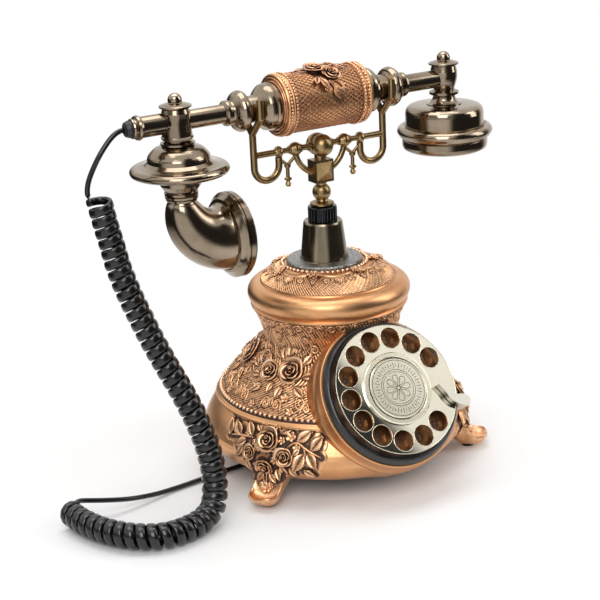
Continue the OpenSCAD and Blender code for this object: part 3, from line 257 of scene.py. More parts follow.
def makeCord(v):
    middle = evenly(smoothLine(v["coil"], 8), v["coilGap"])
    length = len(middle) - 1
    turns = round(length * v["coilGap"] / v["pitch"])
    helix, ways = [], []
    side = Vector((-1, 0, 0))  # carried along the coil's middle line without a twist
    for i, p in enumerate(middle):
        t = wayAt(middle, i)
        side = (side - t * side.dot(t)).normalized()
        angle = 2 * math.pi * turns * i / length
        helix.append(p + v["coilR"] * (math.cos(angle) * side + math.sin(angle) * t.cross(side)))
        ways.append(t)
    lead = evenly(smoothLine(v["lead"], 8), v["leadGap"])[:-2]
    endTurn = helix[-1] + Vector((2.5, 0.8, 0.5))
    base = evenly(smoothLine([tuple(endTurn)] + v["base"], 8), v["baseGap"])
    points = lead + helix + base
    # along the coil the strand is a flat ribbon, its long side along the coil
    coiled = [0] * len(lead) + [1] * len(helix) + [0] * len(base)
    axes = [None] * len(lead) + ways + [None] * len(base)
    side = Vector((0, 1, 0))
    verts = []
    for i, p in enumerate(points):
        t = wayAt(points, i)
        want = axes[i] if coiled[i] else side
        side = (want - t * want.dot(t)).normalized()
        other = t.cross(side)
        # how much of a ribbon the strand is, eased at both ends of the coil
        near = coiled[max(0, i - v["ease"]):i + v["ease"] + 1]
        s = sum(near) / len(near) if coiled[i] else 0
        long = v["leadR"] + (v["ribbonLong"] - v["leadR"]) * s
        flat = v["leadR"] + (v["ribbonFlat"] - v["leadR"]) * s
        power = v["squarer"] if s > 0.5 else 1.0
        for k in range(v["sides"]):
            a = 2 * math.pi * k / v["sides"]
            c, d = (math.copysign(abs(part) ** power, part) for part in (math.cos(a), math.sin(a)))
            verts.append(inFrame(*(p + side * (long * c) + other * (flat * d))))
    cord = tubeObject("curlyCord", verts, v["sides"])
    path = [tuple(inFrame(*p)) for p in points]
    long = sum((Vector(b) - Vector(a)).length for a, b in zip(path, path[1:]))
    print("cord length", round(long, 3), "turns", turns, "points", len(points))
    return cord, path, long


cord, cordPath, cordLong = makeCord(cordValues)
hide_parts("handset_lead", "cord_coil", "base_lead")
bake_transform(cord)

lightValues = {
    # each light's place, width, length and power
    "areas": [("keyLight", (-0.75, -0.95, 1.05), 0.7, 0.9, 9.0),
              ("fillLight", (1.1, -0.6, 0.7), 0.5, 1.0, 5.0),
              ("topLight", (0.0, 0.25, 1.3), 1.1, 0.8, 8.0)],
    "aim": (0, 0, 0.1), "white": (1, 1, 1, 1),
    "plainGrey": (0.82, 0.82, 0.82, 1), "plainStrength": 0.62,
    "dark": (0.035, 0.033, 0.032, 1),
    "quarterTurn": math.radians(140), "quarterEdge": (-0.1, 0.7),
    "high": (0.30, 0.62), "behind": (-0.15, 0.35), "level": (0.35, 0.1),
    # a dark card in the room, seen in the dial: its middle, and the way across its sharp edge
    "card": (0.317, -0.749, 0.578), "cardReach": (0.93, 0.87),
    "cardEdge": (0.741, 0.616, -0.002), "edgeWidth": (-0.026, -0.013),
}


def makeLights(v):
    for name, place, sizeX, sizeY, power in v["areas"]:
        data = bpy.data.lights.new(name, "AREA")
        data.shape = "RECTANGLE"
        data.size, data.size_y = sizeX, sizeY
        data.energy = power
        light = linked(name, data)
        light.location = place
        light.rotation_mode = "QUATERNION"
        light.rotation_quaternion = (Vector(v["aim"]) - Vector(place)).to_track_quat("-Z", "Y")


# gives a node's sockets a value, another socket, or the first output of another node
def feed(tree, node, sockets):
    for key, source in sockets.items():
        if isinstance(source, bpy.types.Node):
            source = next(socket for socket in source.outputs if socket.enabled)
        if isinstance(source, bpy.types.NodeSocket):
            tree.links.new(source, node.inputs[key])
        else:
            node.inputs[key].default_value = source
    return node


def addNode(tree, kind, sockets=None, **values):
    node = tree.nodes.new("ShaderNode" + kind)
    for key, value in values.items():
        setattr(node, key, value)
    return feed(tree, node, sockets or {})


def maths(tree, operation, *inputs):
    return addNode(tree, "Math", dict(enumerate(inputs)), operation=operation)


def mixed(tree, factor, a, b, kind="RGBA"):
    return addNode(tree, "Mix", {"Factor": factor, "A": a, "B": b}, data_type=kind)


def mixedShader(tree, factor, a, b):
    return addNode(tree, "MixShader", {0: factor, 1: a, 2: b})


# carries a value from one range to another, held at both ends
def ranged(tree, value, source, target=(0.0, 1.0), easing="SMOOTHSTEP"):
    return addNode(tree, "MapRange", {"Value": value, "From Min": source[0], "From Max": source[1],
                                      "To Min": target[0], "To Max": target[1]}, interpolation_type=easing)


# 1 in two opposite quarters of the room and 0 in the others, for a direction or a place
def quarters(tree, x, y, v):
    twice = maths(tree, "MULTIPLY_ADD", maths(tree, "ARCTAN2", y, x), 2.0, 2 * v["quarterTurn"])
    return ranged(tree, maths(tree, "COSINE", twice), v["quarterEdge"])


# white to the camera and behind the telephone; metal also mirrors the dim room in front of it
def makeWorld(v):
    world = bpy.data.worlds.new("world")
    bpy.context.scene.world = world
    world.use_nodes = True
    t = world.node_tree
    t.nodes.clear()
    way = addNode(t, "TexCoord").outputs["Generated"]
    x, y, z = addNode(t, "SeparateXYZ", {0: way}).outputs
    # the room is light high up and behind, and in quarters at eye level
    sides = mixed(t, ranged(t, z, v["level"], easing="LINEAR"), ranged(t, y, v["behind"]),
                  quarters(t, x, y, v), "FLOAT")
    light = maths(t, "MAXIMUM", ranged(t, z, v["high"]), sides)
    across, inward = (addNode(t, "VectorMath", {0: way, 1: v[key]}, operation="DOT_PRODUCT")
                      for key in ("cardEdge", "card"))
    clear = maths(t, "MAXIMUM", ranged(t, across, v["edgeWidth"]), ranged(t, inward, v["cardReach"]))
    room = mixed(t, maths(t, "MULTIPLY", light, clear), v["dark"], v["white"])
    mirrored = addNode(t, "Background", {"Color": room})
    plain = addNode(t, "Background", {"Color": v["plainGrey"], "Strength": v["plainStrength"]})
    white = addNode(t, "Background", {"Color": v["white"]})
    rays = addNode(t, "LightPath").outputs
    seen = maths(t, "MAXIMUM", rays["Is Camera Ray"], rays["Is Transmission Ray"])
    shown = mixedShader(t, seen, mixedShader(t, rays["Is Glossy Ray"], plain, mirrored), white)
    addNode(t, "OutputWorld", {"Surface": shown})


makeLights(lightValues)
makeWorld(lightValues)
bpy.context.scene.view_settings.view_transform = "Standard"
floorValues = {"size": 6, "height": -0.0003, "colour": (0.92, 0.92, 0.92, 1), "roughness": 0.6,
               "specular": 0.2, "fade": (0.16, 0.5)}


def newMaterial(name):
    mat = bpy.data.materials.new(name)
    mat.use_nodes = True
    return mat, mat.node_tree, mat.node_tree.nodes["Principled BSDF"]


# the floor fades to the white background away from the telephone, and keeps its shadow
def makeFloor(v, room):
    floor = added(bpy.ops.mesh.primitive_plane_add, size=v["size"])
    floor.name = "floor"
    floor.location.z = v["height"]
    mat, t, bsdf = newMaterial("floorPaper")
    feed(t, bsdf, {"Base Color": v["colour"], "Roughness": v["roughness"],
                   "Specular IOR Level": v["specular"]})
    place = addNode(t, "TexCoord").outputs["Object"]
    fade = ranged(t, addNode(t, "VectorMath", {0: place}, operation="LENGTH"), v["fade"])
    x, y, _ = addNode(t, "SeparateXYZ", {0: place}).outputs
    sides = mixed(t, quarters(t, x, y, room), room["dark"], room["white"])
    mirrored, white = (addNode(t, "Emission", {"Color": colour, "Strength": 1.0})
                       for colour in (sides, room["white"]))
    rays = addNode(t, "LightPath").outputs
    seen = maths(t, "MAXIMUM", rays["Is Camera Ray"], rays["Is Glossy Ray"])
    paper = mixedShader(t, maths(t, "MULTIPLY", fade, seen), bsdf,
                        mixedShader(t, rays["Is Camera Ray"], mirrored, white))
    feed(t, t.nodes["Material Output"], {"Surface": paper})
    floor.data.materials.append(mat)


makeFloor(floorValues, lightValues)
print("camera, cord, light and floor made")


# a colour as a screen shows it, 0 to 255, as the linear value that a socket takes
def linear(r, g, b):
    def one(c):
        c /= 255
        return c / 12.92 if c <= 0.04045 else ((c + 0.055) / 1.055) ** 2.4
    return (one(r), one(g), one(b), 1)


def newGroup(name, inputs, outputs):
    group = bpy.data.node_groups.new(name, "ShaderNodeTree")
    for key, kind, value in inputs:
        socket = group.interface.new_socket(name=key, in_out="INPUT", socket_type="NodeSocket" + kind)
        if value is not None:
            socket.default_value = value
    for key, kind in outputs:
        group.interface.new_socket(name=key, in_out="OUTPUT", socket_type="NodeSocket" + kind)
    return group, group.nodes.new("NodeGroupInput").outputs, group.nodes.new("NodeGroupOutput")


# the patterns' own scales, and the ranges that their values are carried from or to
patternValues = {
    "cloudDetail": 6.0, "cloudRoughness": 0.6, "clouds": (0.35, 0.7),
    "fineScale": 2600.0, "fineDetail": 2.0,
    "patchScale": 420.0, "patchDetail": 3.0, "patches": (0.3, 0.7), "uneven": (-0.16, 0.16),
    "cover": (0.22, 0.85), "highlightRange": (0.1, -0.35), "bare": (1.0, 0.1), "bumpDepth": 0.0003,
    "coatRoughness": 0.08,
}


# handled metal: slow clouds of tarnish, fine scratches and a little unevenness
def makeHandled(v):
    g, i, out = newGroup("handledMetal", [
        ("Vector", "Vector", None), ("Scale", "Float", 60.0), ("Colour", "Color", (1, 1, 1, 1)),
        ("Tarnish", "Color", (0.3, 0.25, 0.2, 1)), ("Amount", "Float", 0.3),
        ("Smooth", "Float", 0.15), ("Rough", "Float", 0.35)],
        [("Colour", "Color"), ("Roughness", "Float"), ("Height", "Float")])
    clouds = addNode(g, "TexNoise", {"Vector": i["Vector"], "Scale": i["Scale"],
                                     "Detail": v["cloudDetail"], "Roughness": v["cloudRoughness"]})
    spread = ranged(g, clouds, v["clouds"], easing="LINEAR")
    fine = addNode(g, "TexNoise", {"Vector": i["Vector"], "Scale": v["fineScale"], "Detail": v["fineDetail"]})
    amount = maths(g, "MULTIPLY", spread, i["Amount"])
    feed(g, out, {"Colour": mixed(g, amount, i["Colour"], i["Tarnish"]), "Height": fine,
                  "Roughness": ranged(g, spread, (0, 1), (i["Smooth"], i["Rough"]), "LINEAR")})
    return g


# the antique finish's dark wash in its hollows, deepened there as painted shade, and a painted highlight,
# paler than the metal, where the relief stands out
def makeWashShadeHighlight(v):
    g, i, out = newGroup("washShadeHighlight", [
        ("Vector", "Vector", None), ("Hollow", "Float", 0.0), ("Colour", "Color", (1, 1, 1, 1)),
        ("WashAndShade", "Color", (0.03, 0.02, 0.01, 1)), ("PaintedHighlight", "Color", (0.9, 0.7, 0.5, 1)),
        ("Roughness", "Float", 0.3), ("Dull", "Float", 0.6)],
        [("Colour", "Color"), ("Roughness", "Float"), ("Metallic", "Float")])
    patchy = addNode(g, "TexNoise", {"Vector": i["Vector"], "Scale": v["patchScale"],
                                     "Detail": v["patchDetail"]})
    depth = maths(g, "ADD", i["Hollow"], ranged(g, patchy, v["patches"], v["uneven"], "LINEAR"))
    cover = ranged(g, depth, v["cover"])
    # a painted highlight where the relief stands out, then the dark wash with painted shade over the hollows
    highlighted = mixed(g, ranged(g, depth, v["highlightRange"]), i["Colour"], i["PaintedHighlight"])
    feed(g, out, {"Colour": mixed(g, cover, highlighted, i["WashAndShade"]),
                  "Roughness": mixed(g, cover, i["Roughness"], i["Dull"], "FLOAT"),
                  "Metallic": ranged(g, cover, (0, 1), v["bare"], "LINEAR")})
    return g


handledMetal = makeHandled(patternValues)
washShadeHighlight = makeWashShadeHighlight(patternValues)


# streaks draw the pattern out along one axis; shadeAndHighlightColours are the colour of the hollows, dark
# wash with painted shade, and the painted highlight on the lips
def metal(name, colour, tarnish, amount=0.3, smooth=0.12, rough=0.3, scale=60.0,
          bump=0.02, metallic=1.0, coat=0.0, streaks=None, shadeAndHighlightColours=None):
    mat, t, bsdf = newMaterial(name)
    place = addNode(t, "TexCoord").outputs["Object"]
    vector = addNode(t, "Mapping", {"Vector": place, "Scale": streaks}) if streaks else place
    worn = addNode(t, "Group", {"Vector": vector, "Scale": scale, "Colour": linear(*colour),
                                "Tarnish": linear(*tarnish), "Amount": amount, "Smooth": smooth,
                                "Rough": rough}, node_tree=handledMetal).outputs
    relief = addNode(t, "Bump", {"Height": worn["Height"], "Strength": bump,
                                 "Distance": patternValues["bumpDepth"]})
    feed(t, bsdf, {"Metallic": metallic, "Normal": relief})
    last = worn
    if shadeAndHighlightColours:
        hollow = addNode(t, "Attribute", attribute_name="hollow").outputs["Fac"]
        last = addNode(t, "Group", {"Vector": place, "Hollow": hollow, "Colour": worn["Colour"],
                                    "WashAndShade": linear(*shadeAndHighlightColours[0]), "PaintedHighlight": linear(*shadeAndHighlightColours[1]),
                                    "Roughness": worn["Roughness"]}, node_tree=washShadeHighlight).outputs
        feed(t, bsdf, {"Metallic": last["Metallic"]})
    feed(t, bsdf, {"Base Color": last["Colour"], "Roughness": last["Roughness"]})
    if coat:
        feed(t, bsdf, {"Coat Weight": coat, "Coat Roughness": patternValues["coatRoughness"]})
    return mat


finishes = {
    # carvedCopper and sleeveCopper take the dark wash with painted shade in their hollows and a painted
    # highlight on their lips
    "copper": metal("antiqueCopper", (222, 168, 120), (186, 130, 86), 0.5, 0.32, 0.44, 45.0, 0.05),
    "carvedCopper": metal("carvedCopper", (238, 184, 136), (194, 136, 94), 0.5, 0.26, 0.40, 160.0, 0.08,
                          shadeAndHighlightColours=((60, 34, 22), (250, 214, 180))),
    "nickel": metal("antiqueNickel", (164, 148, 128), (88, 74, 58), 0.55, 0.1, 0.22, 40.0),
    "brushedNickel": metal("brushedNickel", (152, 140, 118), (62, 54, 44), 0.7, 0.16, 0.3, 160.0,
                           streaks=(1, 1, 0.03)),
    "brass": metal("antiqueBrass", (170, 144, 102), (98, 76, 50), 0.6, 0.26, 0.4, 110.0),
    "sleeveCopper": metal("sleeveCopper", (204, 146, 108), (150, 98, 68), 0.5, 0.28, 0.42, 160.0, 0.08,
                          shadeAndHighlightColours=((50, 28, 20), (236, 194, 158))),
    "blackNickel": metal("blackNickel", (62, 62, 64), (24, 24, 26), 0.5, 0.15, 0.3, 90.0),
    "pewter": metal("speckledPewter", (178, 176, 172), (62, 62, 62), 1.0, 0.25, 0.5, 800.0, 0.8),
    "champagne": metal("paleGold", (238, 232, 212), (206, 196, 172), 0.15, 0.02, 0.05, 50.0, 0.0),
    "satinGold": metal("satinGold", (240, 234, 214), (212, 202, 178), 0.15, 0.24, 0.3, 50.0),
    "bronze": metal("numberBronze", (122, 80, 46), (60, 36, 22), 0.6, 0.25, 0.45, 120.0, 0.05, 0.8),
    "inkBrown": metal("digitInk", (30, 18, 12), (20, 12, 8), 0.3, 0.5, 0.6, 80.0, 0.0, 0.0),
    "ringBlack": metal("ringBlack", (34, 32, 33), (20, 20, 21), 0.3, 0.28, 0.38, 80.0, 0.02, 0.0, 0.25),
    "chrome": metal("stopChrome", (242, 238, 224), (206, 198, 180), 0.2, 0.05, 0.1, 60.0),
    "steel": metal("plainSteel", (170, 172, 176), (110, 110, 112), 0.4, 0.3, 0.5),
    "worksBrass": metal("worksBrass", (196, 168, 104), (120, 96, 52), 0.4, 0.25, 0.4),
    "plastic": metal("blackPlastic", (34, 34, 36), (22, 22, 24), 0.4, 0.4, 0.55, 200.0, 0.1, 0.0),
    "rubber": metal("padRubber", (26, 26, 26), (18, 18, 18), 0.4, 0.7, 0.85, 300.0, 0.2, 0.0),
    "board": metal("boardGreen", (38, 96, 58), (24, 66, 40), 0.4, 0.3, 0.5, 100.0, 0.05, 0.0),
    "winding": metal("coilWire", (166, 96, 58), (96, 52, 30), 0.5, 0.3, 0.5, 400.0, 0.2),
    "cordBlack": metal("cordBlack", (16, 16, 17), (9, 9, 10), 0.3, 0.2, 0.3, 60.0, 0.02, 0.0, 0.2),
}
wears = {
    "copper": ["body_shell", "foot_front_left", "foot_front_right", "foot_rear", "handle_sleeve"],
    "nickel": ["collar_left", "collar_right", "mouth_arm", "ear_arm", "arm_finials", "mouth_barrel",
               "mouth_disc", "mouth_elbow", "mouth_ring", "ear_barrel", "ear_body", "ear_rim", "ear_cap"],
    "brushedNickel": ["stem_cup"],
    "brass": ["cradle_post", "cradle_block", "cradle_bar", "fork_left", "fork_right",
              "pendant_left", "pendant_right"],
    "blackNickel": ["knurled_ring"],
    "pewter": ["stem_flange"],
    "champagne": ["finger_wheel"],
    "satinGold": ["wheel_hub", "hands_free_button"],
    "bronze": ["number_plate"],
    "ringBlack": ["dial_housing"],
    "chrome": ["finger_stop"],
    "steel": ["base_screws", "dial_frame", "plunger_rod", "guide_bush", "hook_lever", "handle_tube",
              "gong_left", "gong_right", "microphone"],
    "worksBrass": ["main_gear", "governor_pinion", "clapper"],
    "winding": ["ringer_coil"],
    "board": ["circuit_board"],
    "plastic": ["base_plate", "loudspeaker", "hook_switch", "line_jack", "lead_gland",
                "mouth_grille", "receiver", "cord_cap"],
    "rubber": ["foot_pads"],
}


def wear(obj, finish):
    obj.data.materials.clear()
    obj.data.materials.append(finishes[finish])


for finish, names in wears.items():
    for name in names:
        for slot in nodes[name].material_slots:
            slot.material = finishes[finish]
        if not nodes[name].material_slots:
            nodes[name].data.materials.append(finishes[finish])
wear(cord, "cordBlack")
print("finishes made")


# a new piece: its finish and the body that it rides on
def settle(obj, finish, body):
    wear(obj, finish)
    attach(obj, body)


# how deep in a hollow each vertex lies, for the dark wash and painted shade: 1 deep, below 0 a painted
# highlight
def markHollow(obj, values):
    layer = obj.data.attributes.get("hollow") or obj.data.attributes.new("hollow", "FLOAT", "POINT")
    layer.data.foreach_set("value", np.clip(np.asarray(values, dtype=np.float32), -0.5, 1))


def coordsOf(obj):
    co = np.empty(len(obj.data.vertices) * 3)
    obj.data.vertices.foreach_get("co", co)
    return co.reshape(-1, 3)


# the shapes below are modelled once, in mm, lying in the XY plane with Z outwards
leafValues = {
    "broadLeaf": {"long": 10.0, "half": 3.3, "columns": 8, "rows": 14, "tooth": 0.08, "vein": 0.3,
                  "crown": 0.95, "bow": 0.8, "thick": 0.8},
    "plainLeaf": {"long": 8.0, "half": 2.4, "columns": 4, "rows": 5, "tooth": 0.0, "vein": 0.0,
                  "crown": 0.7, "bow": 0.8, "thick": 0.7},
    # shares of the length, and of the half width there
    "outline": ([0, 0.08, 0.25, 0.45, 0.65, 0.82, 0.94, 1], [0.12, 0.42, 0.88, 1.0, 0.84, 0.5, 0.2, 0.02]),
    "lean": 0.9, "crownTurn": 0.68, "crownPower": 0.7,
}


def makeLeaf(name, v, common):
    leaf = added(bpy.ops.mesh.primitive_grid_add, x_subdivisions=v["columns"],
                 y_subdivisions=v["rows"], size=1)
    leaf.name = name
    flat = coordsOf(leaf) + np.array([0, 0.5, 0])
    side, along = flat[:, 0] * 2, flat[:, 1]
    row = np.round(along * v["rows"])
    half = v["half"] * np.interp(along, *common["outline"]) * (1 + v["tooth"] * np.where(row % 2, 1, -1))
    # crowned halves meet in a sunk rib, and side veins lean from it towards the tip
    across = abs(side)
    veins = np.cos(2 * np.pi * (row / 2 - across * common["lean"]))
    veins = veins * np.sin(np.pi * np.clip(across, 0, 1)) ** 0.5
    crown = v["crown"] * np.sin(common["crownTurn"] * np.pi * across) ** common["crownPower"]
    lift = crown - v["vein"] * veins
    rise = v["bow"] * np.sin(np.pi * along)
    co = np.stack([side * half, along * v["long"], rise + lift], axis=1)
    leaf.data.vertices.foreach_set("co", co.ravel())
    # the sunk rib, veins and edges get the dark wash with painted shade, the crowns a painted highlight
    markHollow(leaf, (v["crown"] * 0.9 - lift) / (v["crown"] * 0.55 + v["vein"] + 0.1))
    shapedBy(leaf, "SOLIDIFY", thickness=v["thick"], offset=-1)
    mendNormals(leaf)
    bpy.ops.object.shade_smooth()
    return leaf


# each ring of petals: radius, height, how far the lip leans out, count, start angle
roseValues = {
    "rings": [(0.9, 4.5, 0.3, 2, 0), (2.3, 4.4, 0.6, 3, 70), (4.1, 3.6, 1.2, 3, 15),
              (6.0, 2.5, 1.9, 4, 55)],
    "arc": 150, "steps": 10, "thick": 0.4, "tuck": 0.6, "drawIn": 0.16, "spiral": 0.3, "uneven": 0.1,
    "peak": 0.17, "peakPower": 1.4, "hollowFrom": 0.12, "hollowDeep": 1.35,
    "heart": {"vertices": 20, "radius1": 6.4, "radius2": 1.0, "depth": 2.0, "location": (0, 0, -0.1)},
}


# a petal spirals outwards along its arc, with its lip rolled back and its ends tucked down
def makePetal(radius, height, lean, v):
    profile = [(radius * 0.5, 0, -1.2), (radius * 0.84, 0, height * 0.3),
               (radius + lean * 0.1, 0, height * 0.7), (radius + lean * 0.55, 0, height),
               (radius + lean, 0, height * 0.92)]
    mesh = bpy.data.meshes.new("petal")
    mesh.from_pydata(profile, [(i, i + 1) for i in range(len(profile) - 1)], [])
    petal = editAll(linked("petal", mesh), bpy.ops.mesh.spin, steps=v["steps"],
                    angle=math.radians(v["arc"]), center=(0, 0, 0), axis=(0, 0, 1))
    co = coordsOf(petal)
    middle = co[:, :2].sum(axis=0)
    turned = np.arctan2(co[:, 1], co[:, 0]) - math.atan2(middle[1], middle[0])
    turned = (turned + math.pi) % (2 * math.pi) - math.pi
    share = turned / math.radians(v["arc"] / 2)  # -1 at one end of the petal, 1 at the other
    within = np.clip(abs(share), 0, 1)
    tuck = within ** 3
    peak = v["peak"] * (1 - within) ** v["peakPower"] * np.clip(co[:, 2] / height, 0, 1)
    co[:, :2] *= ((1 + v["spiral"] * 0.5 * share) * (1 - v["drawIn"] * tuck + peak))[:, None]
    co[:, 2] *= np.where(co[:, 2] > 0, 1 - v["tuck"] * tuck, 1)
    petal.data.vertices.foreach_set("co", co.ravel())
    return shapedBy(petal, "SOLIDIFY", thickness=v["thick"], offset=0)


def makeRose(v):
    petals = []
    for ring, (radius, height, lean, count, start) in enumerate(v["rings"]):
        one = makePetal(radius, height, lean, v)
        for k in range(count):
            odd = 1 + v["uneven"] * math.sin(2.4 * k + 1.7 * ring)
            turn = start + (k + 0.1 * math.sin(3.1 * k + ring)) * 360 / count
            petals.append(copied(one, Matrix.Rotation(math.radians(turn), 4, "Z")
                                 @ Matrix.Diagonal((odd, odd, odd, 1))))
        bpy.data.objects.remove(one)
    petals.append(added(bpy.ops.mesh.primitive_cone_add, **v["heart"]))
    rose = mendNormals(joined("roseShape", petals, smooth=True))
    co = coordsOf(rose)
    lip = np.interp(np.hypot(co[:, 0], co[:, 1]), [radius + lean for radius, _, lean, *_ in v["rings"]],
                    [height for _, height, *_ in v["rings"]])
    # the dark wash with painted shade deepens below the petals' lips, which get a painted highlight
    markHollow(rose, (lip - co[:, 2] - v["hollowFrom"]) / v["hollowDeep"])
    return rose


# a small open flower with five round petals about a bead
blossomValues = {"petals": 5, "reach": 1.5, "petalR": 1.25, "petalUp": 0.1, "flat": 0.5, "edge": 0.5,
                 "edgeUp": 0.45, "height": 0.9, "heart": 0.8, "segments": 10, "rings": 6,
                 "hollow": (0.75, 0.9)}
beadValues = {"segments": 8, "rings": 5, "hollow": (0.2, 0.7)}


# below the first height is hollow, with the dark wash and painted shade deeper over the second distance;
# above it a painted highlight
def markBelow(obj, v):
    height, deep = v["hollow"]
    markHollow(obj, (height - coordsOf(obj)[:, 2]) / deep)
    return obj


def ball(v, radius, place=(0, 0, 0)):
    return added(bpy.ops.mesh.primitive_uv_sphere_add, segments=v["segments"], ring_count=v["rings"],
                 radius=radius, location=place)


def makeBlossom(v):
    parts = []
    for k in range(v["petals"]):
        a = 2 * math.pi * k / v["petals"]
        one = ball(v, v["petalR"], (v["reach"] * math.cos(a), v["reach"] * math.sin(a), v["petalUp"]))
        # a petal is flat, with its outer edge raised
        shapeWhere(one, lambda co: True, grow=(1, 1, v["flat"]), about=(0, 0, v["petalUp"]))
        shapeWhere(one, lambda co: math.hypot(co.x, co.y) > v["reach"] + v["edge"], move=(0, 0, v["edgeUp"]))
        parts.append(one)
    parts.append(ball(v, v["heart"], (0, 0, v["height"])))
    return markBelow(joined("blossomShape", parts, smooth=True), v)


def makeBead(v):
    bead = ball(v, 1)
    bpy.ops.object.shade_smooth()
    return markBelow(bead, v)


broadLeaf, plainLeaf = (makeLeaf(name, leafValues[name], leafValues) for name in ("broadLeaf", "plainLeaf"))
roseShape = makeRose(roseValues)
blossomShape = makeBlossom(blossomValues)
beadShape = makeBead(beadValues)


# a foot: a dished tongue with a raised rim that flows out of the belly.
# stations are: out from the body's axis, half width, sole, rim and floor heights, in mm
footValues = {
    "stations": [(61.5, 9.3, 12.4, 14.0, 14.0), (66.0, 9.3, 9.6, 15.5, 15.5), (70.0, 9.3, 6.4, 17.5, 17.5),
                 (74.0, 9.3, 3.0, 20.0, 20.0), (76.6, 9.3, 1.3, 22.4, 22.0), (78.0, 9.3, 1.0, 21.2, 19.8),
                 (78.9, 9.3, 1.0, 18.2, 16.2), (80.0, 9.3, 1.0, 14.6, 12.4), (81.4, 9.3, 1.0, 11.6, 9.4),
                 (83.2, 9.3, 1.0, 9.6, 7.2), (85.4, 9.15, 1.3, 8.5, 5.9), (87.4, 8.8, 1.9, 8.3, 5.4),
                 (89.2, 8.1, 2.9, 8.5, 5.7), (90.6, 7.1, 4.0, 8.6, 6.4), (91.6, 5.7, 5.0, 8.4, 7.2),
                 (92.25, 3.9, 5.8, 7.9, 7.3), (92.6, 1.8, 6.2, 7.4, 7.2)],
    "side": [(0, 0), (0.4, 0), (0.7, 0.16), (0.9, 0.42), (0.985, 0.66)],  # shares of width and height
    "rim": [(0.0, -1.3), (-0.2, -0.4), (-0.85, 0), (-1.5, -0.35), (-1.9, -0.9)],  # mm from the rim's corner
    "dish": [(0.72, 0.52), (0.4, 0.15), (0, 0)],
    "flare": ([13, 17, 20.5, 25], [0, 0.7, 2.0, 4.4]),  # height, and how much wider there
    "steps": 2,
    "feet": [("footFrontLeft", 210, "foot_front_left"), ("footFrontRight", 330, "foot_front_right"),
             ("footRear", 90, "foot_rear")],
}


def footRing(half, sole, rim, floor, v):
    ring = [(half * s, sole + (rim - sole) * z) for s, z in v["side"]]
    depth = min(1.0, (rim - floor) * 0.8)
    ring += [(max(half + s, 0.2 * half), rim + z * (1 if k < 2 else depth))
             for k, (s, z) in enumerate(v["rim"])]
    edge, low = ring[-1]
    ring += [(edge * s, floor + (low - floor) * z) for s, z in v["dish"]]
    ring = [(s + float(np.interp(z, *v["flare"])) * (s > 0.5 * half), z) for s, z in ring]
    return ring + [(-s, z) for s, z in ring[-2:0:-1]]


def makeFoot(name, angle, v):
    out, side = around(angle), around(angle + 90)
    marks = smoothLine([p[:3] for p in v["stations"]], v["steps"])
    tops = smoothLine([p[3:] for p in v["stations"]], v["steps"])
    verts = []
    for (reach, half, sole), (rim, floor) in zip(marks, tops):
        ring = footRing(half, sole, rim, floor, v)
        verts += [bodyAxis + out * reach * mm + side * s * mm + Vector((0, 0, z * mm)) for s, z in ring]
    foot = shapedBy(mendNormals(tubeObject(name, verts, len(ring))), "SUBSURF", levels=1, render_levels=1)
    foot.data.shade_smooth()
    return foot


# the triangles of some pieces, as a tree to aim at
def treeOf(*objects):
    verts, faces = [], []
    for obj in objects:
        base = len(verts)
        verts += [v.co.copy() for v in obj.data.vertices]
        faces += [[base + i for i in p.vertices] for p in obj.data.polygons]
    return BVHTree.FromPolygons(verts, faces)


feet = [makeFoot(name, angle, footValues) for name, angle, _ in footValues["feet"]]
castTree = treeOf(nodes["body_shell"], *feet)
sleeveTree = treeOf(nodes["handle_sleeve"])
sleeveAxis = inFrame(-1, 0, 216.6)
down = Vector((0, 0, -1))
aimFrom = {"side": 0.25, "above": 0.2, "sleeve": 0.05}
plainAngle = 25  # where the casting has neither foot nor boss
bossStands = 0.7  # mm that a boss stands out of the turned form at least


# a spot is a point of a surface, its outward normal and the way up along it
def spotOf(tree, start, way, up):
    hit, normal = tree.ray_cast(start, way)[:2]
    if hit is None:
        return None
    return hit, normal, (up - normal * up.dot(normal)).normalized()


def sideSpot(angle, height):
    out = around(angle)
    start = bodyAxis + out * aimFrom["side"] + Vector((0, 0, height * mm))
    return spotOf(castTree, start, -out, -down)


# on the dome, at a distance from the stem; up leads towards the stem
def domeSpot(angle, reach):
    out = around(angle)
    start = inFrame(0, 0, 0) + out * reach * mm + Vector((0, 0, aimFrom["above"]))
    return spotOf(castTree, start, down, -out)


# along the handset's sleeve, and round it from the top towards the front
def sleeveSpot(along, angle):
    a = math.radians(angle)
    out = Vector((0, -math.sin(a), math.cos(a)))
    start = sleeveAxis + Vector((along * mm, 0, 0)) + out * aimFrom["sleeve"]
    return spotOf(sleeveTree, start, -out, Vector((0, math.cos(a), math.sin(a))))


# how far the casting's plain turned form stands from its axis at a height, in mm
def turnedRadius(height):
    return (sideSpot(plainAngle, height)[0] - bodyAxis).xy.length / mm


def mmPerDegree(height):
    return turnedRadius(height) * math.pi / 180


# a spot on the casting's side, but none where a boss stands out of it
def clearSpot(angle, height):
    spot = sideSpot(angle, height)
    if spot is None or (spot[0] - bodyAxis).xy.length / mm > turnedRadius(spot[0].z / mm) + bossStands:
        return None
    return spot


# a list with a copy of a shape set on a spot and turned about its normal, empty without a spot
def stamp(shape, spot, turn=0.0, size=1.0, lift=0.0):
    if spot is None:
        return []
    point, out, up = spot
    right = up.cross(out)
    a = math.radians(turn)
    x = right * math.cos(a) + up * math.sin(a)
    y = up * math.cos(a) - right * math.sin(a)
    p = point + out * lift * mm
    place = Matrix(((x.x, y.x, out.x, p.x), (x.y, y.y, out.y, p.y), (x.z, y.z, out.z, p.z), (0, 0, 0, 1)))
    sizes = size if isinstance(size, tuple) else (size, size, size)
    return [copied(shape, place @ Matrix.Diagonal([s * mm for s in sizes] + [1]))]


# how a strand swells towards its middle; its flanks lie deeper than its back, with painted shade there and a
# painted highlight along the back
strandValues = {"swell": 1.3, "hollow": (0.75, 0.8)}


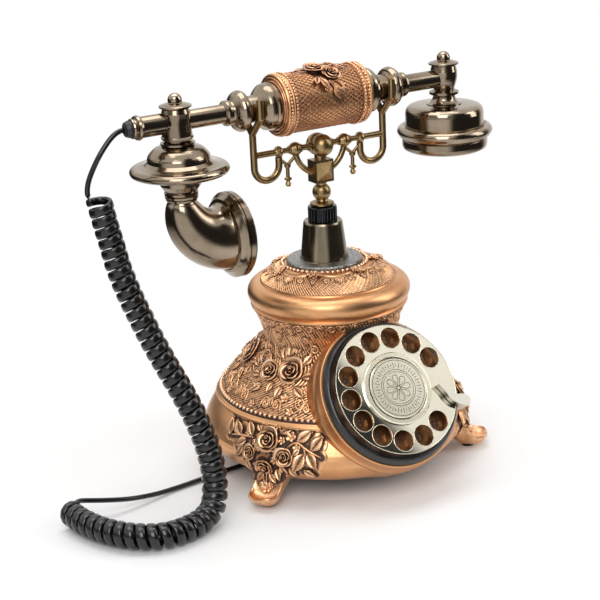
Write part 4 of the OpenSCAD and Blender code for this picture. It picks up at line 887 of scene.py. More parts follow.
# a list with a tapering half-sunk strand along spots of a surface, empty where one is missing
def strand(spots, thick, sides=6, lift=0.25, blunt=0.35):
    if None in spots:
        return []
    points = [spot[0] for spot in spots]
    verts, hollow = [], []
    base, slope = strandValues["hollow"]
    last = len(spots) - 1
    for i, (point, out, _) in enumerate(spots):
        side = out.cross(wayAt(points, i)).normalized()
        full = math.sin(math.pi * (i + 0.4) / (last + 0.8)) * strandValues["swell"]
        share = min(1.0, blunt + (1 - blunt) * full)
        r = thick * share * mm
        for k in range(sides):
            a = 2 * math.pi * k / sides
            verts.append(point + out * (lift * thick * mm + r * math.sin(a)) + side * (r * math.cos(a)))
            hollow.append(base - slope * math.sin(a))
    obj = tubeObject("strand", verts, sides)
    markHollow(obj, hollow)
    return [obj]


curlValues = {"tailOut": 0.35, "closing": 0.78}  # how far the tail stands out and the spiral closes


# flat spiral in mm: turns in from its outer end, with a tail that leads into it
def curl(x, y, radius, turns, start, hand, tail, step=18):
    line = []
    a = math.radians(start)
    ahead = Vector((-math.sin(a), math.cos(a))) * hand
    edge = Vector((math.cos(a), math.sin(a))) * radius
    for share in (1, 0.75, 0.5, 0.25):
        wide, back = 1 + curlValues["tailOut"] * share ** 2, tail * share
        line.append((x + edge.x * wide - ahead.x * back, y + edge.y * wide - ahead.y * back))
    count = max(6, int(turns * 360 / step))
    for k in range(count + 1):
        t = k / count
        r = radius * (1 - curlValues["closing"] * t)
        b = a + hand * 2 * math.pi * turns * t
        line.append((x + r * math.cos(b), y + r * math.sin(b)))
    return line


# roses, leaves, buds and stems over a foot, in mm sideways and up
clusterValues = {
    "roses": [(-1.6, 35.6, 0, 0.84, 0.6), (9.6, 28.6, 70, 0.66, 0.9), (-2.5, 22.0, 140, 0.68, 0.8),
              (-12.8, 27.6, 30, 0.52, 0.5)],  # place, turn, size, lift
    "leaves": [(-31.2, 33.1, -33.2, 43.0), (-22.0, 34.6, -28.6, 42.0), (-13.8, 36.2, -18.0, 43.8),
               (16.6, 37.0, 24.0, 43.4), (25.0, 33.0, 31.0, 41.0), (23.0, 31.4, 28.0, 22.8),
               (20.6, 31.0, 15.4, 20.8), (20.8, 22.6, 26.8, 18.6), (4.9, 40.2, 11.6, 43.4),
               (-17.2, 33.4, -23.2, 28.6), (-18.6, 29.6, -21.6, 23.6), (-15.4, 23.2, -11.6, 17.4),
               (7.0, 23.2, 11.6, 17.6), (5.0, 20.8, 8.2, 15.0), (12.4, 22.8, 16.8, 18.4),
               (0.8, 18.0, 5.4, 13.4), (-3.4, 18.0, -6.4, 13.0), (-7.4, 33.0, -9.8, 28.4),
               (-8.8, 39.0, -11.8, 43.6), (17.6, 33.0, 14.2, 29.4), (-9.4, 22.8, -8.2, 17.2)],
    "blossoms": [(11.9, 38.9, 1.2), (2.6, 43.2, 1.0), (-5.4, 43.0, 1.1), (-17.4, 37.2, 0.8),
                 (16.2, 33.6, 0.9), (6.4, 36.6, 0.9), (-8.0, 31.0, 0.8), (3.6, 31.0, 0.9),
                 (3.2, 26.0, 0.8), (-10.6, 33.4, 0.8), (-0.5, 9.9, 1.2), (1.8, 11.2, 0.8),
                 (-2.4, 11.4, 0.8), (15.6, 24.0, 0.8), (-20.2, 33.6, 0.8)],
    "stems": [([(10.3, 33.1), (13.4, 35.7), (17.1, 36.1), (21.1, 33.9), (25.6, 31.6), (30.5, 29.6)],
               0.8),
              ([(-31.4, 33.0), (-26.0, 34.2), (-20.7, 35.0), (-12.9, 35.4)], 0.75),
              ([(20.4, 33.8), (21.4, 30.8), (20.7, 28.2)], 0.6),
              ([(-1.2, 17.6), (-1.0, 14.0), (-0.6, 11.2)], 0.6),
              ([(0.8, 17.4), (1.2, 14.0), (1.2, 11.8)], 0.5),
              ([(-3.2, 17.4), (-2.8, 14.4), (-2.2, 12.0)], 0.5),
              ([(-19.0, 34.8), (-19.4, 31.0), (-18.2, 27.6)], 0.55)],
    "hand": 76.0,  # radius that turns mm sideways into an angle
    "bossFrom": 26, "turnEach": 25, "blossomLift": 0.2, "stemGap": 0.8, "stemLift": 0.5,
    # a name, the middle angle, -1 for a mirrored one, and the name of the sheet behind it, painted dark as
    # shade
    "clusters": [("rosesFrontLeft", -150, 1, "paintedShadeFrontLeft"),
                 ("rosesFrontRight", -30, -1, "paintedShadeFrontRight"), ("rosesRear", 90, 1, "paintedShadeRear")],
}


# a leaf from its foot to its tip, both in mm sideways and up; spotAt gives the spot of such a pair
def leafAlong(spotAt, x, z, tipX, tipZ, hand=1, lift=0.4):
    turn = math.degrees(math.atan2(-(tipX - x) * hand, tipZ - z))
    return stamp(broadLeaf, spotAt(x, z), turn, math.hypot(tipX - x, tipZ - z) / 10, lift)


def makeCluster(name, centre, hand, v):
    parts = []

    def spotAt(x, z):
        angle = centre + hand * math.degrees(x / v["hand"])
        return clearSpot(angle, z) if z > v["bossFrom"] else sideSpot(angle, z)
    for x, z, turn, size, lift in v["roses"]:
        parts += stamp(roseShape, spotAt(x, z), turn * hand, size, lift)
    for leaf in v["leaves"]:
        parts += leafAlong(spotAt, *leaf, hand)
    for k, (x, z, size) in enumerate(v["blossoms"]):
        parts += stamp(blossomShape, spotAt(x, z), v["turnEach"] * k, size, v["blossomLift"])
    for points, thick in v["stems"]:
        spots = [spotAt(p.x, p.y) for p in evenly(smoothLine(points, 6), v["stemGap"])]
        parts += strand([spot for spot in spots if spot], thick, lift=v["stemLift"])
    return joined(name, parts)


# the leaves and roses on the lace slope, about a middle angle: degrees aside, height
slopeValues = {
    "middles": [-159.5, 148, 98, 48, -20.5],
    "roses": [(9.4, 67.6, 0, 0.95, 0.5), (-7.6, 65.8, 60, 0.78, 0.5), (-19.6, 70.6, 20, 0.5, 0.3)],
    "leaves": [(17.0, 71.6, 23.0, 77.6), (18.0, 66.0, 26.6, 67.6), (15.0, 61.0, 22.0, 55.6),
               (6.0, 60.4, 4.4, 53.0), (3.4, 74.6, 3.0, 83.4), (-0.4, 72.6, -4.0, 80.0),
               (-3.0, 73.0, -9.6, 77.4), (-13.6, 69.0, -17.4, 75.6), (-15.4, 63.0, -22.4, 61.6),
               (-9.0, 59.4, -13.8, 53.6), (-22.4, 66.0, -29.0, 69.0), (9.0, 76.2, 10.8, 83.0),
               (-1.6, 61.4, -2.6, 55.0), (-24.6, 73.6, -28.6, 80.0)],
    "blossoms": [(0.8, 66.2, 0.9), (1.4, 72.2, 0.9), (-14.4, 68.4, 0.8), (19.4, 74.8, 0.7),
                 (-12.4, 57.6, 1.1), (10.6, 56.0, 1.0), (-22.6, 76.4, 0.7), (21.0, 60.6, 0.8)],
    "curls": [(24.2, 79.6, 3.0, 1.3, 150, -1, 8), (24.6, 68.4, 2.6, 1.3, 210, 1, 6),
              (-29.0, 62.4, 2.8, 1.3, 60, 1, 6), (-27.0, 84.0, 2.4, 1.3, -20, -1, 8),
              (20.6, 54.6, 3.0, 1.3, 180, 1, 7), (-22.0, 54.6, 2.8, 1.3, 20, -1, 7)],
    "stems": [([(16, 70), (20, 75), (22, 82), (18, 88)], 0.75),
              ([(-10, 72), (-16, 78), (-20, 84), (-16, 90)], 0.75),
              ([(12, 60), (13, 55), (17, 52.6), (23, 52.4), (27, 55), (29, 59)], 0.8),
              ([(-11, 60), (-15, 56), (-20, 53), (-26, 53), (-31, 56)], 0.8),
              ([(2, 74), (1.5, 80), (-1.5, 86), (0, 91)], 0.65)],
    "curlThick": 0.8, "roseHeight": 0.85, "leafLift": 0.3, "turnEach": 20, "blossomLift": 0.15,
    "stemGap": 0.9,
}


def makeSlopeRoses(name, v):
    parts = []
    for middle in v["middles"]:
        def spotAt(aside, z):
            return clearSpot(middle + aside, z)
        for aside, z, turn, size, lift in v["roses"]:
            parts += stamp(roseShape, spotAt(aside, z), turn, (size, size, size * v["roseHeight"]), lift)
        for aside, z, tipAside, tipZ in v["leaves"]:
            reach = mmPerDegree(z)
            parts += leafAlong(lambda x, y: spotAt(x / reach, y), aside * reach, z, tipAside * reach, tipZ,
                               lift=v["leafLift"])
        for k, (aside, z, size) in enumerate(v["blossoms"]):
            parts += stamp(blossomShape, spotAt(aside, z), v["turnEach"] * k, size, v["blossomLift"])
        for aside, z, *form in v["curls"]:
            reach = mmPerDegree(z)
            path = curl(0, 0, *form)
            parts += strand([spotAt(aside + x / reach, z + y) for x, y in path], v["curlThick"])
        for points, thick in v["stems"]:
            path = evenly(smoothLine(points, 6), v["stemGap"])
            parts += strand([spotAt(p.x, p.y) for p in path], thick)
    return joined(name, parts)


# scrolls that run round the casting: under the lip, and above the bead row.
# leaf is height, turn and size; blossom is height and size
borderValues = {
    "under": {"height": 93.2, "count": 14, "radius": 2.7, "turns": 1.25, "tail": 5.0, "thick": 0.8,
              "apart": 3.4, "leaf": (87.6, 180, 0.7), "blossom": (95.4, 0.85)},
    "foot": {"height": 52.6, "count": 15, "radius": 2.8, "turns": 1.3, "tail": 3.0, "thick": 0.85,
             "apart": 3.8, "leaf": (51.6, 0, 0.7), "blossom": (50.6, 0.9)},
    "common": {"aside": 1.6, "turn": 34, "shrink": 0.2, "leafLift": 0.2, "blossomLift": 0.1, "step": 24},
}


def makeBorder(name, v, common):
    parts = []
    height = v["height"]
    reach = mmPerDegree(height)
    for k in range(v["count"]):
        angle = (k + 0.5) * 360 / v["count"]
        for hand in (-1, 1):
            path = curl(hand * v["apart"], 0, v["radius"], v["turns"], 90 - hand * 90, hand, v["tail"],
                        common["step"])
            parts += strand([clearSpot(angle + x / reach, height + y) for x, y in path], v["thick"])
        z, turn, size = v["leaf"]
        for aside in (-1, 0, 1):
            parts += stamp(plainLeaf, clearSpot(angle + aside * common["aside"] / reach, z),
                           turn - aside * common["turn"], size * (1 - common["shrink"] * abs(aside)),
                           common["leafLift"])
        z, size = v["blossom"]
        parts += stamp(blossomShape, clearSpot(angle + 180 / v["count"], z), 0, size, common["blossomLift"])
    return joined(name, parts)


# a row stands at a height on the side, or at a reach from the stem on the dome
beadRows = {
    "ridge": {"spot": clearSpot, "at": 47.2, "size": (1.25, 1.25, 1.2), "count": 124, "lift": 0.5},
    "crown": {"spot": domeSpot, "at": 24.9, "size": (1.15, 1.3, 1.3), "count": 52, "lift": 0.4},
}


def makeBeadRow(name, v):
    beads = []
    for k in range(v["count"]):
        beads += stamp(beadShape, v["spot"](k * 360 / v["count"], v["at"]), 0, v["size"], v["lift"])
    return joined(name, beads)


# the garland on the dome: swags between leaf fans, with a drop below each fan.
# a fan has blossoms and leaves at a reach: shape, reach, turn, size and lift.
# middle is turn and size; scroll is degrees aside, reach, radius, turns and tail
garlandValues = {
    "count": 7, "first": -132.8, "swagReach": (27.2, 30.8), "swagPoints": 14,
    "fan": [(plainLeaf, 27.6, 180 + turn, (size, size, size * 1.3), 0.4)
            for turn, size in ((-50, 0.74), (-17, 0.86), (17, 0.86), (50, 0.74))]
    + [(blossomShape, 27.6, 0, 1.1, 0.7), (blossomShape, 31.8, 36, 0.85, 0.15),
       (plainLeaf, 32.6, 180, 0.5, 0.2)],
    "strands": [(0, 0.75), (0.5, 0.6375)], "middleOut": 0.6, "middleLift": 0.2,
    "middle": [(150, 0.6), (180, 0.7), (210, 0.6)],
    "scroll": (13, 33.5, 1.7, 1.2, 3.5), "scrollThick": 0.6, "step": 24,
}


def makeGarland(name, v):
    parts = []
    step = 360 / v["count"]
    near, deep = v["swagReach"]
    count = v["swagPoints"]
    shift, reach, radius, turns, tail = v["scroll"]
    for k in range(v["count"]):
        angle = v["first"] + k * step
        for shape, out, *form in v["fan"]:
            parts += stamp(shape, domeSpot(angle, out), *form)
        for lower, thick in v["strands"]:
            swag = [(angle + step * t / count, near + lower + (deep - near) * math.sin(math.pi * t / count))
                    for t in range(1, count)]
            parts += strand([domeSpot(*place) for place in swag], thick)
        middle = domeSpot(angle + step / 2, deep + v["middleOut"])
        for turn, size in v["middle"]:
            parts += stamp(plainLeaf, middle, turn, size, v["middleLift"])
        for hand in (-1, 1):
            centre = angle + step / 2 + hand * shift
            path = curl(0, 0, radius, turns, 90 + hand * 60, hand, tail, v["step"])
            parts += strand([domeSpot(centre + math.degrees(x / reach), reach - y) for x, y in path],
                            v["scrollThick"])
    return joined(name, parts)


footClusters = [makeCluster(name, centre, hand, clusterValues)
                for name, centre, hand, _ in clusterValues["clusters"]]
slopeRoses = makeSlopeRoses("slopeRoses", slopeValues)
underBorder = makeBorder("scrollsUnderLip", borderValues["under"], borderValues["common"])
footBorder = makeBorder("scrollsOverBeads", borderValues["foot"], borderValues["common"])
ridgeBeads = makeBeadRow("ridgeBeads", beadRows["ridge"])
crownBeads = makeBeadRow("crownBeads", beadRows["crown"])
garland = makeGarland("domeGarland", garlandValues)
for obj in footClusters + [slopeRoses, underBorder, footBorder, ridgeBeads, crownBeads, garland]:
    settle(obj, "carvedCopper", "base")
print("roses, leaves, scrolls and beads made")


# how near each point of a skin is to the ornaments on it, 1 at them and 0 from `far` mm away
def nearness(points, objects, far):
    raised = np.vstack([coordsOf(o) for o in objects])[::2]
    tree = KDTree(len(raised))
    for i, co in enumerate(raised):
        tree.insert(co, i)
    tree.balance()
    return np.array([max(0.0, 1 - tree.find(p)[2] / (far * mm)) for p in points])


# a band of cast weave: slanting ribs cut into stitches, on a turned surface
weaveValues = {
    "ribs": 144, "across": 6, "row": 0.62, "relief": 0.62, "rise": 0.12, "stitch": 1.7, "sink": 0.9,
    "near": 2.0, "inner": 8, "power": 0.8, "between": 0.45,
    "hollow": (0.95, 1.25), "highlighted": -0.25, "deepest": 0.76, "paintedShadeNear": 0.7, "plainPaintedShade": 0.9,
    "slopeHeights": (45.0, 96.9, 1.1), "slopeSlant": ([0.3, 0.62], [1.36, -0.6]), "plainBelow": 47.9,
    "domeReaches": (40.0, 24.6, -0.7), "domeSlant": -1.3, "domeRow": 0.45,
}


# rings are (radius, height) points up the surface, in mm; slant is degrees turned for each mm
def makeWeave(name, rings, slant, ornaments, v, row, plainBelow=0.0):
    line = evenly([Vector((r, z, 0)) for r, z in rings], row)
    rows = len(line)
    count = v["ribs"] * v["across"]
    ribNumber, phase = np.divmod(np.arange(count), v["across"])
    rib = np.sin(np.pi * phase / v["across"]) ** v["power"]

    # a ring of points about the body's axis, moved out of the surface by some mm
    def ringAt(i, turn, lift):
        p, way = line[i], wayAt(line, i)
        a = np.radians(np.arange(count) * 360 / count + turn)
        lift = lift * np.ones(count)
        radius = p.x + way.y * lift
        return np.stack([np.cos(a) * radius, np.sin(a) * radius - bodyAhead, p.y - way.x * lift], axis=1)
    points, heights = [], []
    turned = travelled = 0.0
    for i, p in enumerate(line):
        if i:
            gap = (p - line[i - 1]).length
            travelled += gap
            turned += slant(i / (rows - 1)) * gap
        stitch = np.abs(np.sin(np.pi * (travelled / v["stitch"] + 0.5 * (ribNumber % 2))))
        high = rib * (v["between"] + (1 - v["between"]) * stitch) * (p.y > plainBelow)
        within = 1 < i < rows - 2
        points.append(ringAt(i, turned, v["rise"] + v["relief"] * high if within else -v["sink"]))
        heights.append(high * within)
    # a plain inner wall, buried in the casting, closes the band
    for k in range(v["inner"] + 1):
        points.append(ringAt(round(k * (rows - 1) / v["inner"]), 0, -2 * v["sink"]))
    verts = np.vstack(points) * mm + np.array([stemX, stemY, 0])
    pairs = ([(i, i + 1) for i in range(rows - 1)] + [(rows + i + 1, rows + i) for i in range(v["inner"])]
             + [(rows, 0), (rows - 1, rows + v["inner"])])
    weave = meshObject(name, verts, ringFaces(pairs, count).tolist())
    close = nearness(verts[:rows * count], ornaments, v["near"])
    # the sunk ground between the ribs gets the dark wash with painted shade and the rib crests a painted
    # highlight; painted shade also darkens it near the ornaments and all over the plain band below the weave
    base, slope = v["hollow"]
    hollow = np.clip(base - slope * np.concatenate(heights), v["highlighted"], 1) * v["deepest"]
    plain = np.repeat([p.y <= plainBelow for p in line], count)
    hollow = np.where(plain, v["plainPaintedShade"], hollow + v["paintedShadeNear"] * close)
    markHollow(weave, np.concatenate([hollow, np.zeros(len(verts) - len(hollow))]))
    return weave


slopeRings = [(turnedRadius(z), z) for z in np.arange(*weaveValues["slopeHeights"])]
slopeWeave = makeWeave("slopeWeave", slopeRings, lambda t: np.interp(t, *weaveValues["slopeSlant"]),
                       [slopeRoses, underBorder, footBorder], weaveValues, weaveValues["row"],
                       weaveValues["plainBelow"])
bodyTop = bodyAxis + Vector((0, 0, aimFrom["above"]))
domeRings = [(reach, castTree.ray_cast(bodyTop + around(plainAngle) * reach * mm, down)[0].z / mm)
             for reach in np.arange(*weaveValues["domeReaches"])]
domeWeave = makeWeave("domeWeave", domeRings, lambda t: weaveValues["domeSlant"], [garland, crownBeads],
                      weaveValues, weaveValues["domeRow"])
for obj in (slopeWeave, domeWeave):
    settle(obj, "carvedCopper", "base")
print("cast weave made")


# a sheet set on the smooth casting behind a cluster, painted dark near its roses and leaves: painted shade
# between them, with the dark wash
paintedShadeGroundValues = {"wide": 36.0, "low": 12.6, "high": 43.8, "step": 0.7, "lift": 0.3, "sink": 0.5, "near": 4.6,
                "wall": 1.6, "edge": 2.6, "hollow": (2.0, 0.55)}


def makePaintedShadeGround(name, centre, cluster, v):
    width = int(2 * v["wide"] / v["step"]) + 1
    rows = int((v["high"] - v["low"]) / v["step"]) + 1
    grid = [(i, j) for j in range(rows) for i in range(width)]
    points, outs = [], []
    for i, j in grid:
        x = -v["wide"] + 2 * v["wide"] * i / (width - 1)
        z = v["low"] + (v["high"] - v["low"]) * j / (rows - 1)
        hit, out, _ = sideSpot(centre + math.degrees(x / clusterValues["hand"]), z)
        points.append(hit)
        outs.append(out)
    close = nearness(points, [cluster], v["near"])
    border = np.array([i in (0, width - 1) or j in (0, rows - 1) for i, j in grid])
    lift = -v["sink"] + (v["sink"] + v["lift"]) * np.where(border, 0, np.clip(close * v["edge"], 0, 1))
    verts = [p + o * float(h) * mm for p, o, h in zip(points, outs, lift)]
    verts += [p - o * v["wall"] * mm for p, o in zip(points, outs)]
    back = len(points)
    faces = []
    for j in range(rows - 1):
        for i in range(width - 1):
            a = j * width + i
            b, c, d = a + 1, a + 1 + width, a + width
            faces += [(a, b, c, d), (back + a, back + d, back + c, back + b)]
    last = back - 1
    ring = [*range(width - 1), *range(width - 1, last, width), *range(last, last - width + 1, -1),
            *range(last - width + 1, 0, -width)]
    faces += [(a, a + back, b + back, b) for a, b in zip(ring, ring[1:] + ring[:1])]
    shadeGround = meshObject(name, verts, faces)
    slope, base = v["hollow"]
    markHollow(shadeGround, np.concatenate([np.clip(close * slope - base, 0, 1), np.zeros(back)]))
    return shadeGround


for cluster, (_, centre, _, name) in zip(footClusters, clusterValues["clusters"]):
    settle(makePaintedShadeGround(name, centre, cluster, paintedShadeGroundValues), "carvedCopper", "base")
for foot, (_, _, node) in zip(feet, footValues["feet"]):
    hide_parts(node)
    markHollow(foot, np.zeros(len(foot.data.vertices)))
    settle(foot, "carvedCopper", "base")
print("feet dressed")


# the sleeve's cast lattice: two crossing families of wires over sunk diamonds
latticeValues = {
    "half": 21.6, "round": 42, "cell": 3.7, "fine": 11, "fineRound": 8, "base": 16.2, "wire": 0.95,
    "wireHalf": 0.17, "near": 3.4, "wall": 1.6, "sink": 1.2, "steep": 1.25, "crossing": 0.15, "power": 0.7,
    "clear": (1.5, 0.3), "hollow": (1.05, 1.25), "paintedShadeNear": 0.9,
}


def makeLattice(name, ornaments, v):
    count = v["round"] * v["fineRound"]
    rows = int(2 * v["half"] / v["cell"] * v["fine"]) + 1
    turn = np.tile(np.arange(count) / count, rows)
    x = np.repeat([-v["half"] + 2 * v["half"] * i / (rows - 1) for i in range(rows)], count)

    def place(x, turn, radius):
        a = turn * 2 * np.pi
        return np.stack([sleeveAxis.x + x * mm, sleeveAxis.y - np.sin(a) * radius * mm,
                         sleeveAxis.z + np.cos(a) * radius * mm], axis=1)
    one, two = (np.abs((x / v["cell"] + hand * turn * v["round"] + 0.5) % 1 - 0.5) for hand in (1, -1))
    high = np.clip(v["steep"] * (1 - np.minimum(one, two) / v["wireHalf"]), 0, 1)
    cross = np.clip(1 - (one + two) / (2 * v["wireHalf"]), 0, 1)
    high = (1 - v["crossing"]) * high ** v["power"] + v["crossing"] * cross
    close = nearness(place(x, turn, v["base"] + 0.4), ornaments, v["near"])
    slope, base = v["clear"]
    high = high * (1 - np.clip(close * slope - base, 0, 1))
    ends = abs(x) > v["half"] - 0.01
    outer = place(x, turn, v["base"] + (v["wire"] * high + np.where(ends, -v["sink"], 0)))
    inner = place(x[ends], turn[ends], v["base"] - v["wall"])
    pairs = [(i, i + 1) for i in range(rows - 1)] + [(rows - 1, rows + 1), (rows + 1, rows), (rows, 0)]
    faces = np.roll(ringFaces(pairs, count), -1, axis=1)
    lattice = meshObject(name, np.vstack([outer, inner]), faces.tolist())
    # the sunk diamonds get the dark wash with painted shade, and painted shade darkens it near the roses
    base, slope = v["hollow"]
    hollow = np.clip(base - slope * high, 0, 1) + v["paintedShadeNear"] * close
    markHollow(lattice, np.concatenate([hollow, np.zeros(len(inner))]))
    return lattice


# along the sleeve in mm, degrees round it from the top towards the front, turn, size, and a rose's lift;
# the ring is a place, radius and thickness
sleeveDecor = {
    "roses": [(-1.6, 6, 0, 0.78, 0.7), (5.2, 30, 50, 0.66, 0.7), (7.6, 3, 110, 0.6, 0.9)],
    "leaves": [(-7.2, 4, 80, 0.85), (-4.4, 34, 150, 0.9), (11.2, 12, -75, 0.8), (1.6, 44, -160, 0.55),
               (2.4, -16, 10, 0.7), (-5.0, -12, 50, 0.7), (10.0, -14, -40, 0.65), (-3.0, 40, -170, 1.0)],
    "stems": [([(-0.6, 42), (2.0, 52), (3.4, 62), (2.6, 70), (3.6, 78), (6.0, 84)], 0.6),
              ([(4.6, 46), (7.5, 54), (8.8, 62)], 0.5)],
    "ring": (-1.2, 62, 1.4, 0.55), "ringPoints": 16, "ringBlunt": 0.9, "sleeveR": 16.6,
    "roseHeight": 0.8, "leafLift": 0.7, "stemGap": 1.2, "stemLift": 1.0,
    "beads": {"rows": (22.7, 25.6), "size": (0.8, 0.95, 0.85), "count": 56, "lift": 0.35,
              "rings": [(13.3, 0.9), (15.2, 0.7)], "ringAt": 27.9},
}


def makeSleeveDecor(name, v):
    parts = []
    for x, angle, turn, size, lift in v["roses"]:
        parts += stamp(roseShape, sleeveSpot(x, angle), turn, (size, size, size * v["roseHeight"]), lift)
    for x, angle, turn, size in v["leaves"]:
        parts += stamp(plainLeaf, sleeveSpot(x, angle), turn, size, v["leafLift"])
    for points, thick in v["stems"]:
        path = evenly(smoothLine(points, 8), v["stemGap"])
        parts += strand([sleeveSpot(p.x, p.y) for p in path], thick, lift=v["stemLift"])
    x, angle, radius, thick = v["ring"]
    reach = v["sleeveR"] * math.pi / 180  # mm to a degree
    turns = [t * 2 * math.pi / v["ringPoints"] for t in range(v["ringPoints"] + 1)]
    circle = [sleeveSpot(x + radius * math.cos(t), angle + radius * math.sin(t) / reach) for t in turns]
    parts += strand(circle, thick, lift=v["stemLift"], blunt=v["ringBlunt"])
    return joined(name, parts)


def torus(radius, thick, segments, sides, **place):
    return added(bpy.ops.mesh.primitive_torus_add, major_radius=radius, minor_radius=thick,
                 major_segments=segments, minor_segments=sides, **place)


def makeSleeveBeads(name, v):
    beads = []
    for x in v["rows"]:
        for side in (-1, 1):
            for k in range(v["count"]):
                spot = sleeveSpot(side * x, k * 360 / v["count"])
                beads += stamp(beadShape, spot, 0, v["size"], v["lift"])
    for side in (-1, 1):
        place = sleeveAxis + Vector((side * v["ringAt"] * mm, 0, 0))
        beads += [torus(radius * mm, thick * mm, 64, 10, rotation=(0, math.pi / 2, 0), location=place)
                  for radius, thick in v["rings"]]
    return joined(name, beads, smooth=True)


sleeveRoses = makeSleeveDecor("sleeveRoses", sleeveDecor)
sleeveBeads = makeSleeveBeads("sleeveBeads", sleeveDecor["beads"])
sleeveLattice = makeLattice("sleeveLattice", [sleeveRoses], latticeValues)
for obj in (sleeveRoses, sleeveBeads, sleeveLattice):
    settle(obj, "sleeveCopper", "handset")
print("sleeve dressed")

# the dial's plane: sideways, up along the slope, and out from the finger wheel's face, in mm
dialValues = {
    "tilt": 34.9, "centre": (0, -73.3, 62.7), "pitchR": 30.0, "first": 24.6, "step": 360 / 14,
    "digits": "123456789*0#", "digitHigh": 6.4 * 1.35, "plate": -5.0, "ink": 0.12, "curve": 3,
}


def dialMatrix(u=0.0, v=0.0, h=0.0):
    tilt = math.radians(dialValues["tilt"])
    c, s = math.cos(tilt), math.sin(tilt)
    x, y, z = dialValues["centre"]
    place = inFrame(x + u, y + v * s - h * c, z + v * c + h * s)
    return Matrix(((mm, 0, 0, place.x), (0, s * mm, -c * mm, place.y), (0, c * mm, s * mm, place.z),
                   (0, 0, 0, 1)))


# where a finger hole and its digit stand in the dial's plane
def holeSpot(k):
    a = math.radians(dialValues["first"] + k * dialValues["step"])
    return dialValues["pitchR"] * math.cos(a), dialValues["pitchR"] * math.sin(a)


def makeDigits(name, v):
    signs = []
    for k, sign in enumerate(v["digits"]):
        deselectAll()
        bpy.ops.object.text_add()
        text = bpy.context.object
        text.data.body = sign
        text.data.align_x = text.data.align_y = "CENTER"
        text.data.size, text.data.extrude, text.data.resolution_u = v["digitHigh"], v["ink"], v["curve"]
        pick(text)
        bpy.ops.object.convert(target="MESH")
        digit = bpy.context.object
        digit.data.transform(dialMatrix(*holeSpot(k), v["plate"]))
        signs.append(digit)
    return joined(name, signs)


rimValues = {"holeR": 6.2, "rim": 0.2, "edgeR": 37.62, "holeSegments": 48, "edgeSegments": 120, "sides": 8,
             "band": (37.2, 38.6), "bandFace": -4.9, "bandHigh": 0.3, "bandSegments": 96}


# polished rims round the finger holes and round the wheel
def makeRims(name, v):
    rims = [torus(v["holeR"], v["rim"], v["holeSegments"], v["sides"], location=(*holeSpot(k), 0))
            for k in range(len(dialValues["digits"]))]
    rims.append(torus(v["edgeR"], v["rim"], v["edgeSegments"], v["sides"]))
    rim = joined(name, rims, smooth=True)
    rim.data.transform(dialMatrix())
    return rim


# the black band beyond the wheel's edge; seen through the finger holes it also stands in as painted shade at
# their edges
def makeBand(name, v):
    near, far = v["band"]
    band = added(bpy.ops.mesh.primitive_cylinder_add, vertices=v["bandSegments"], radius=far,
                 depth=v["bandHigh"], end_fill_type="NOTHING")
    band.name = name
    mendNormals(shapedBy(band, "SOLIDIFY", thickness=far - near))
    band.data.transform(dialMatrix(0, 0, v["bandFace"]))
    return band


settle(makeDigits("dialDigits", dialValues), "inkBrown", "base")
settle(makeRims("wheelRims", rimValues), "champagne", "dial")
settle(makeBand("dialBand", rimValues), "ringBlack", "base")

# fine engraved work on the button: rings, a ring of strokes and a plain eight-petal flower.
# a ring is radius, half its width and its segments
engraveValues = {
    "face": 2.0, "rings": [(16.2, 0.16, 96), (10.6, 0.16, 96), (9.4, 0.12, 96)], "heart": (1.1, 0.2, 32),
    "ringHigh": 0.06, "strokes": 48, "strokeR": (11.8, 14.8), "strokeHalf": 0.16, "shortStroke": 0.55,
    "flat": 0.4, "petals": 8, "petalFrom": 1.2, "petalLong": 6.4, "petalWide": 1.9 * 0.9, "petalPoints": 24,
    "line": 0.16,
}


def flatRing(radius, half, segments, high):
    ring = torus(radius, half, segments, 6)
    shapeWhere(ring, lambda co: True, grow=(1, 1, high / half))
    return ring


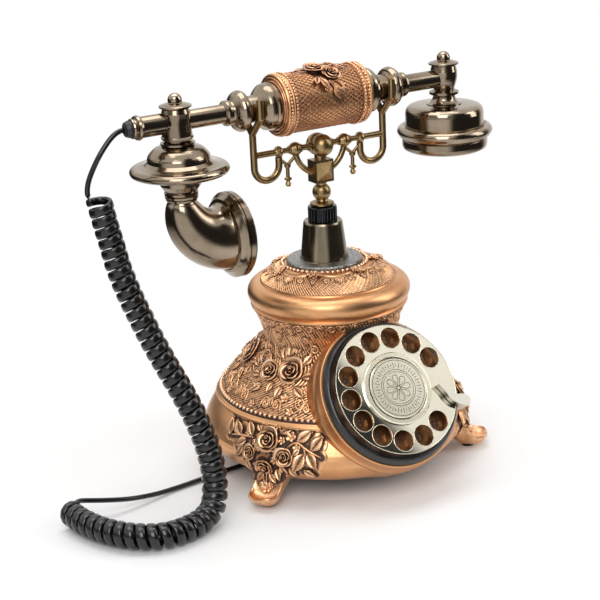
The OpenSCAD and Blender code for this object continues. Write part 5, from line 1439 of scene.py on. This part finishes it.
def makeEngraving(name, v):
    parts = [flatRing(*ring, v["ringHigh"]) for ring in v["rings"]]
    near, far = v["strokeR"]
    for k in range(v["strokes"]):
        long = (far - near) * (1 if k % 2 else v["shortStroke"])
        stroke = added(bpy.ops.mesh.primitive_cylinder_add, vertices=8, radius=v["strokeHalf"],
                       depth=long, location=((near + far) / 2, 0, 0), rotation=(0, math.pi / 2, 0))
        stroke.data.transform(Matrix.Rotation(2 * math.pi * k / v["strokes"], 4, "Z")
                              @ Matrix.Diagonal((1, 1, v["flat"], 1)))
        parts.append(stroke)
    outline = []
    for t in range(v["petalPoints"] + 1):
        b = math.pi * t / v["petalPoints"]
        out = v["petalLong"] * math.sin(b) ** 0.8 if 0 < t < v["petalPoints"] else 0.0
        outline.append((Vector((v["petalFrom"] + out, v["petalWide"] * math.sin(2 * b), 0)) * mm,
                        Vector((0, 0, 1)), None))
    for k in range(v["petals"]):
        petal, = strand(outline, v["line"], 6, 0, 1.0)
        petal.data.transform(Matrix.Rotation(2 * math.pi * k / v["petals"], 4, "Z")
                             @ Matrix.Diagonal((1 / mm, 1 / mm, v["flat"] / mm, 1)))
        parts.append(petal)
    parts.append(flatRing(*v["heart"], v["ringHigh"]))
    work = joined(name, parts, smooth=True)
    work.data.transform(dialMatrix(0, 0, v["face"]))
    return work


settle(makeEngraving("buttonEngraving", engraveValues), "inkBrown", "button")
print("dial dressed")

# the horn's elbow as one smooth sweep that widens round the bend, in mm
elbowValues = {"x": -89.6, "top": 172.9, "reach": 23.2, "drop": 25.3, "inward": 0.6, "out": 0.5,
               "startR": 7.6, "endR": 19.0, "spread": 0.68, "steps": 40, "around": 72}


def makeElbow(name, v):
    drop = v["drop"] - v["inward"]
    stations = [(0.0, v["top"], 0.0, v["startR"])]
    for k in range(v["steps"] + 1):
        a = math.pi / 2 * k / v["steps"]
        radius = v["startR"] + (v["endR"] - v["startR"]) * (k / v["steps"]) ** v["spread"]
        x, z = v["reach"] * (1 - math.cos(a)), v["top"] - v["inward"] - drop * math.sin(a)
        stations.append((x, z, a, radius))
    stations.append((v["reach"] + v["out"], v["top"] - v["drop"], math.pi / 2, v["endR"]))
    verts = []
    for x, z, a, radius in stations:
        # the path's own way at this station, as the ellipse of the bend has it
        way = Vector((v["reach"] * math.sin(a), 0, -drop * math.cos(a))).normalized()
        side = Vector((-way.z, 0, way.x))
        for i in range(v["around"]):
            t = 2 * math.pi * i / v["around"]
            p = side * radius * math.cos(t) + Vector((0, radius * math.sin(t), 0))
            verts.append(inFrame(v["x"] + x + p.x, p.y, z + p.z))
    return mendNormals(tubeObject(name, verts, v["around"]))


elbow = makeElbow("hornElbow", elbowValues)
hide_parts("mouth_elbow")
settle(elbow, "nickel", "handset")
print("elbow made")

for shape in (broadLeaf, plainLeaf, roseShape, blossomShape, beadShape):
    bpy.data.objects.remove(shape)
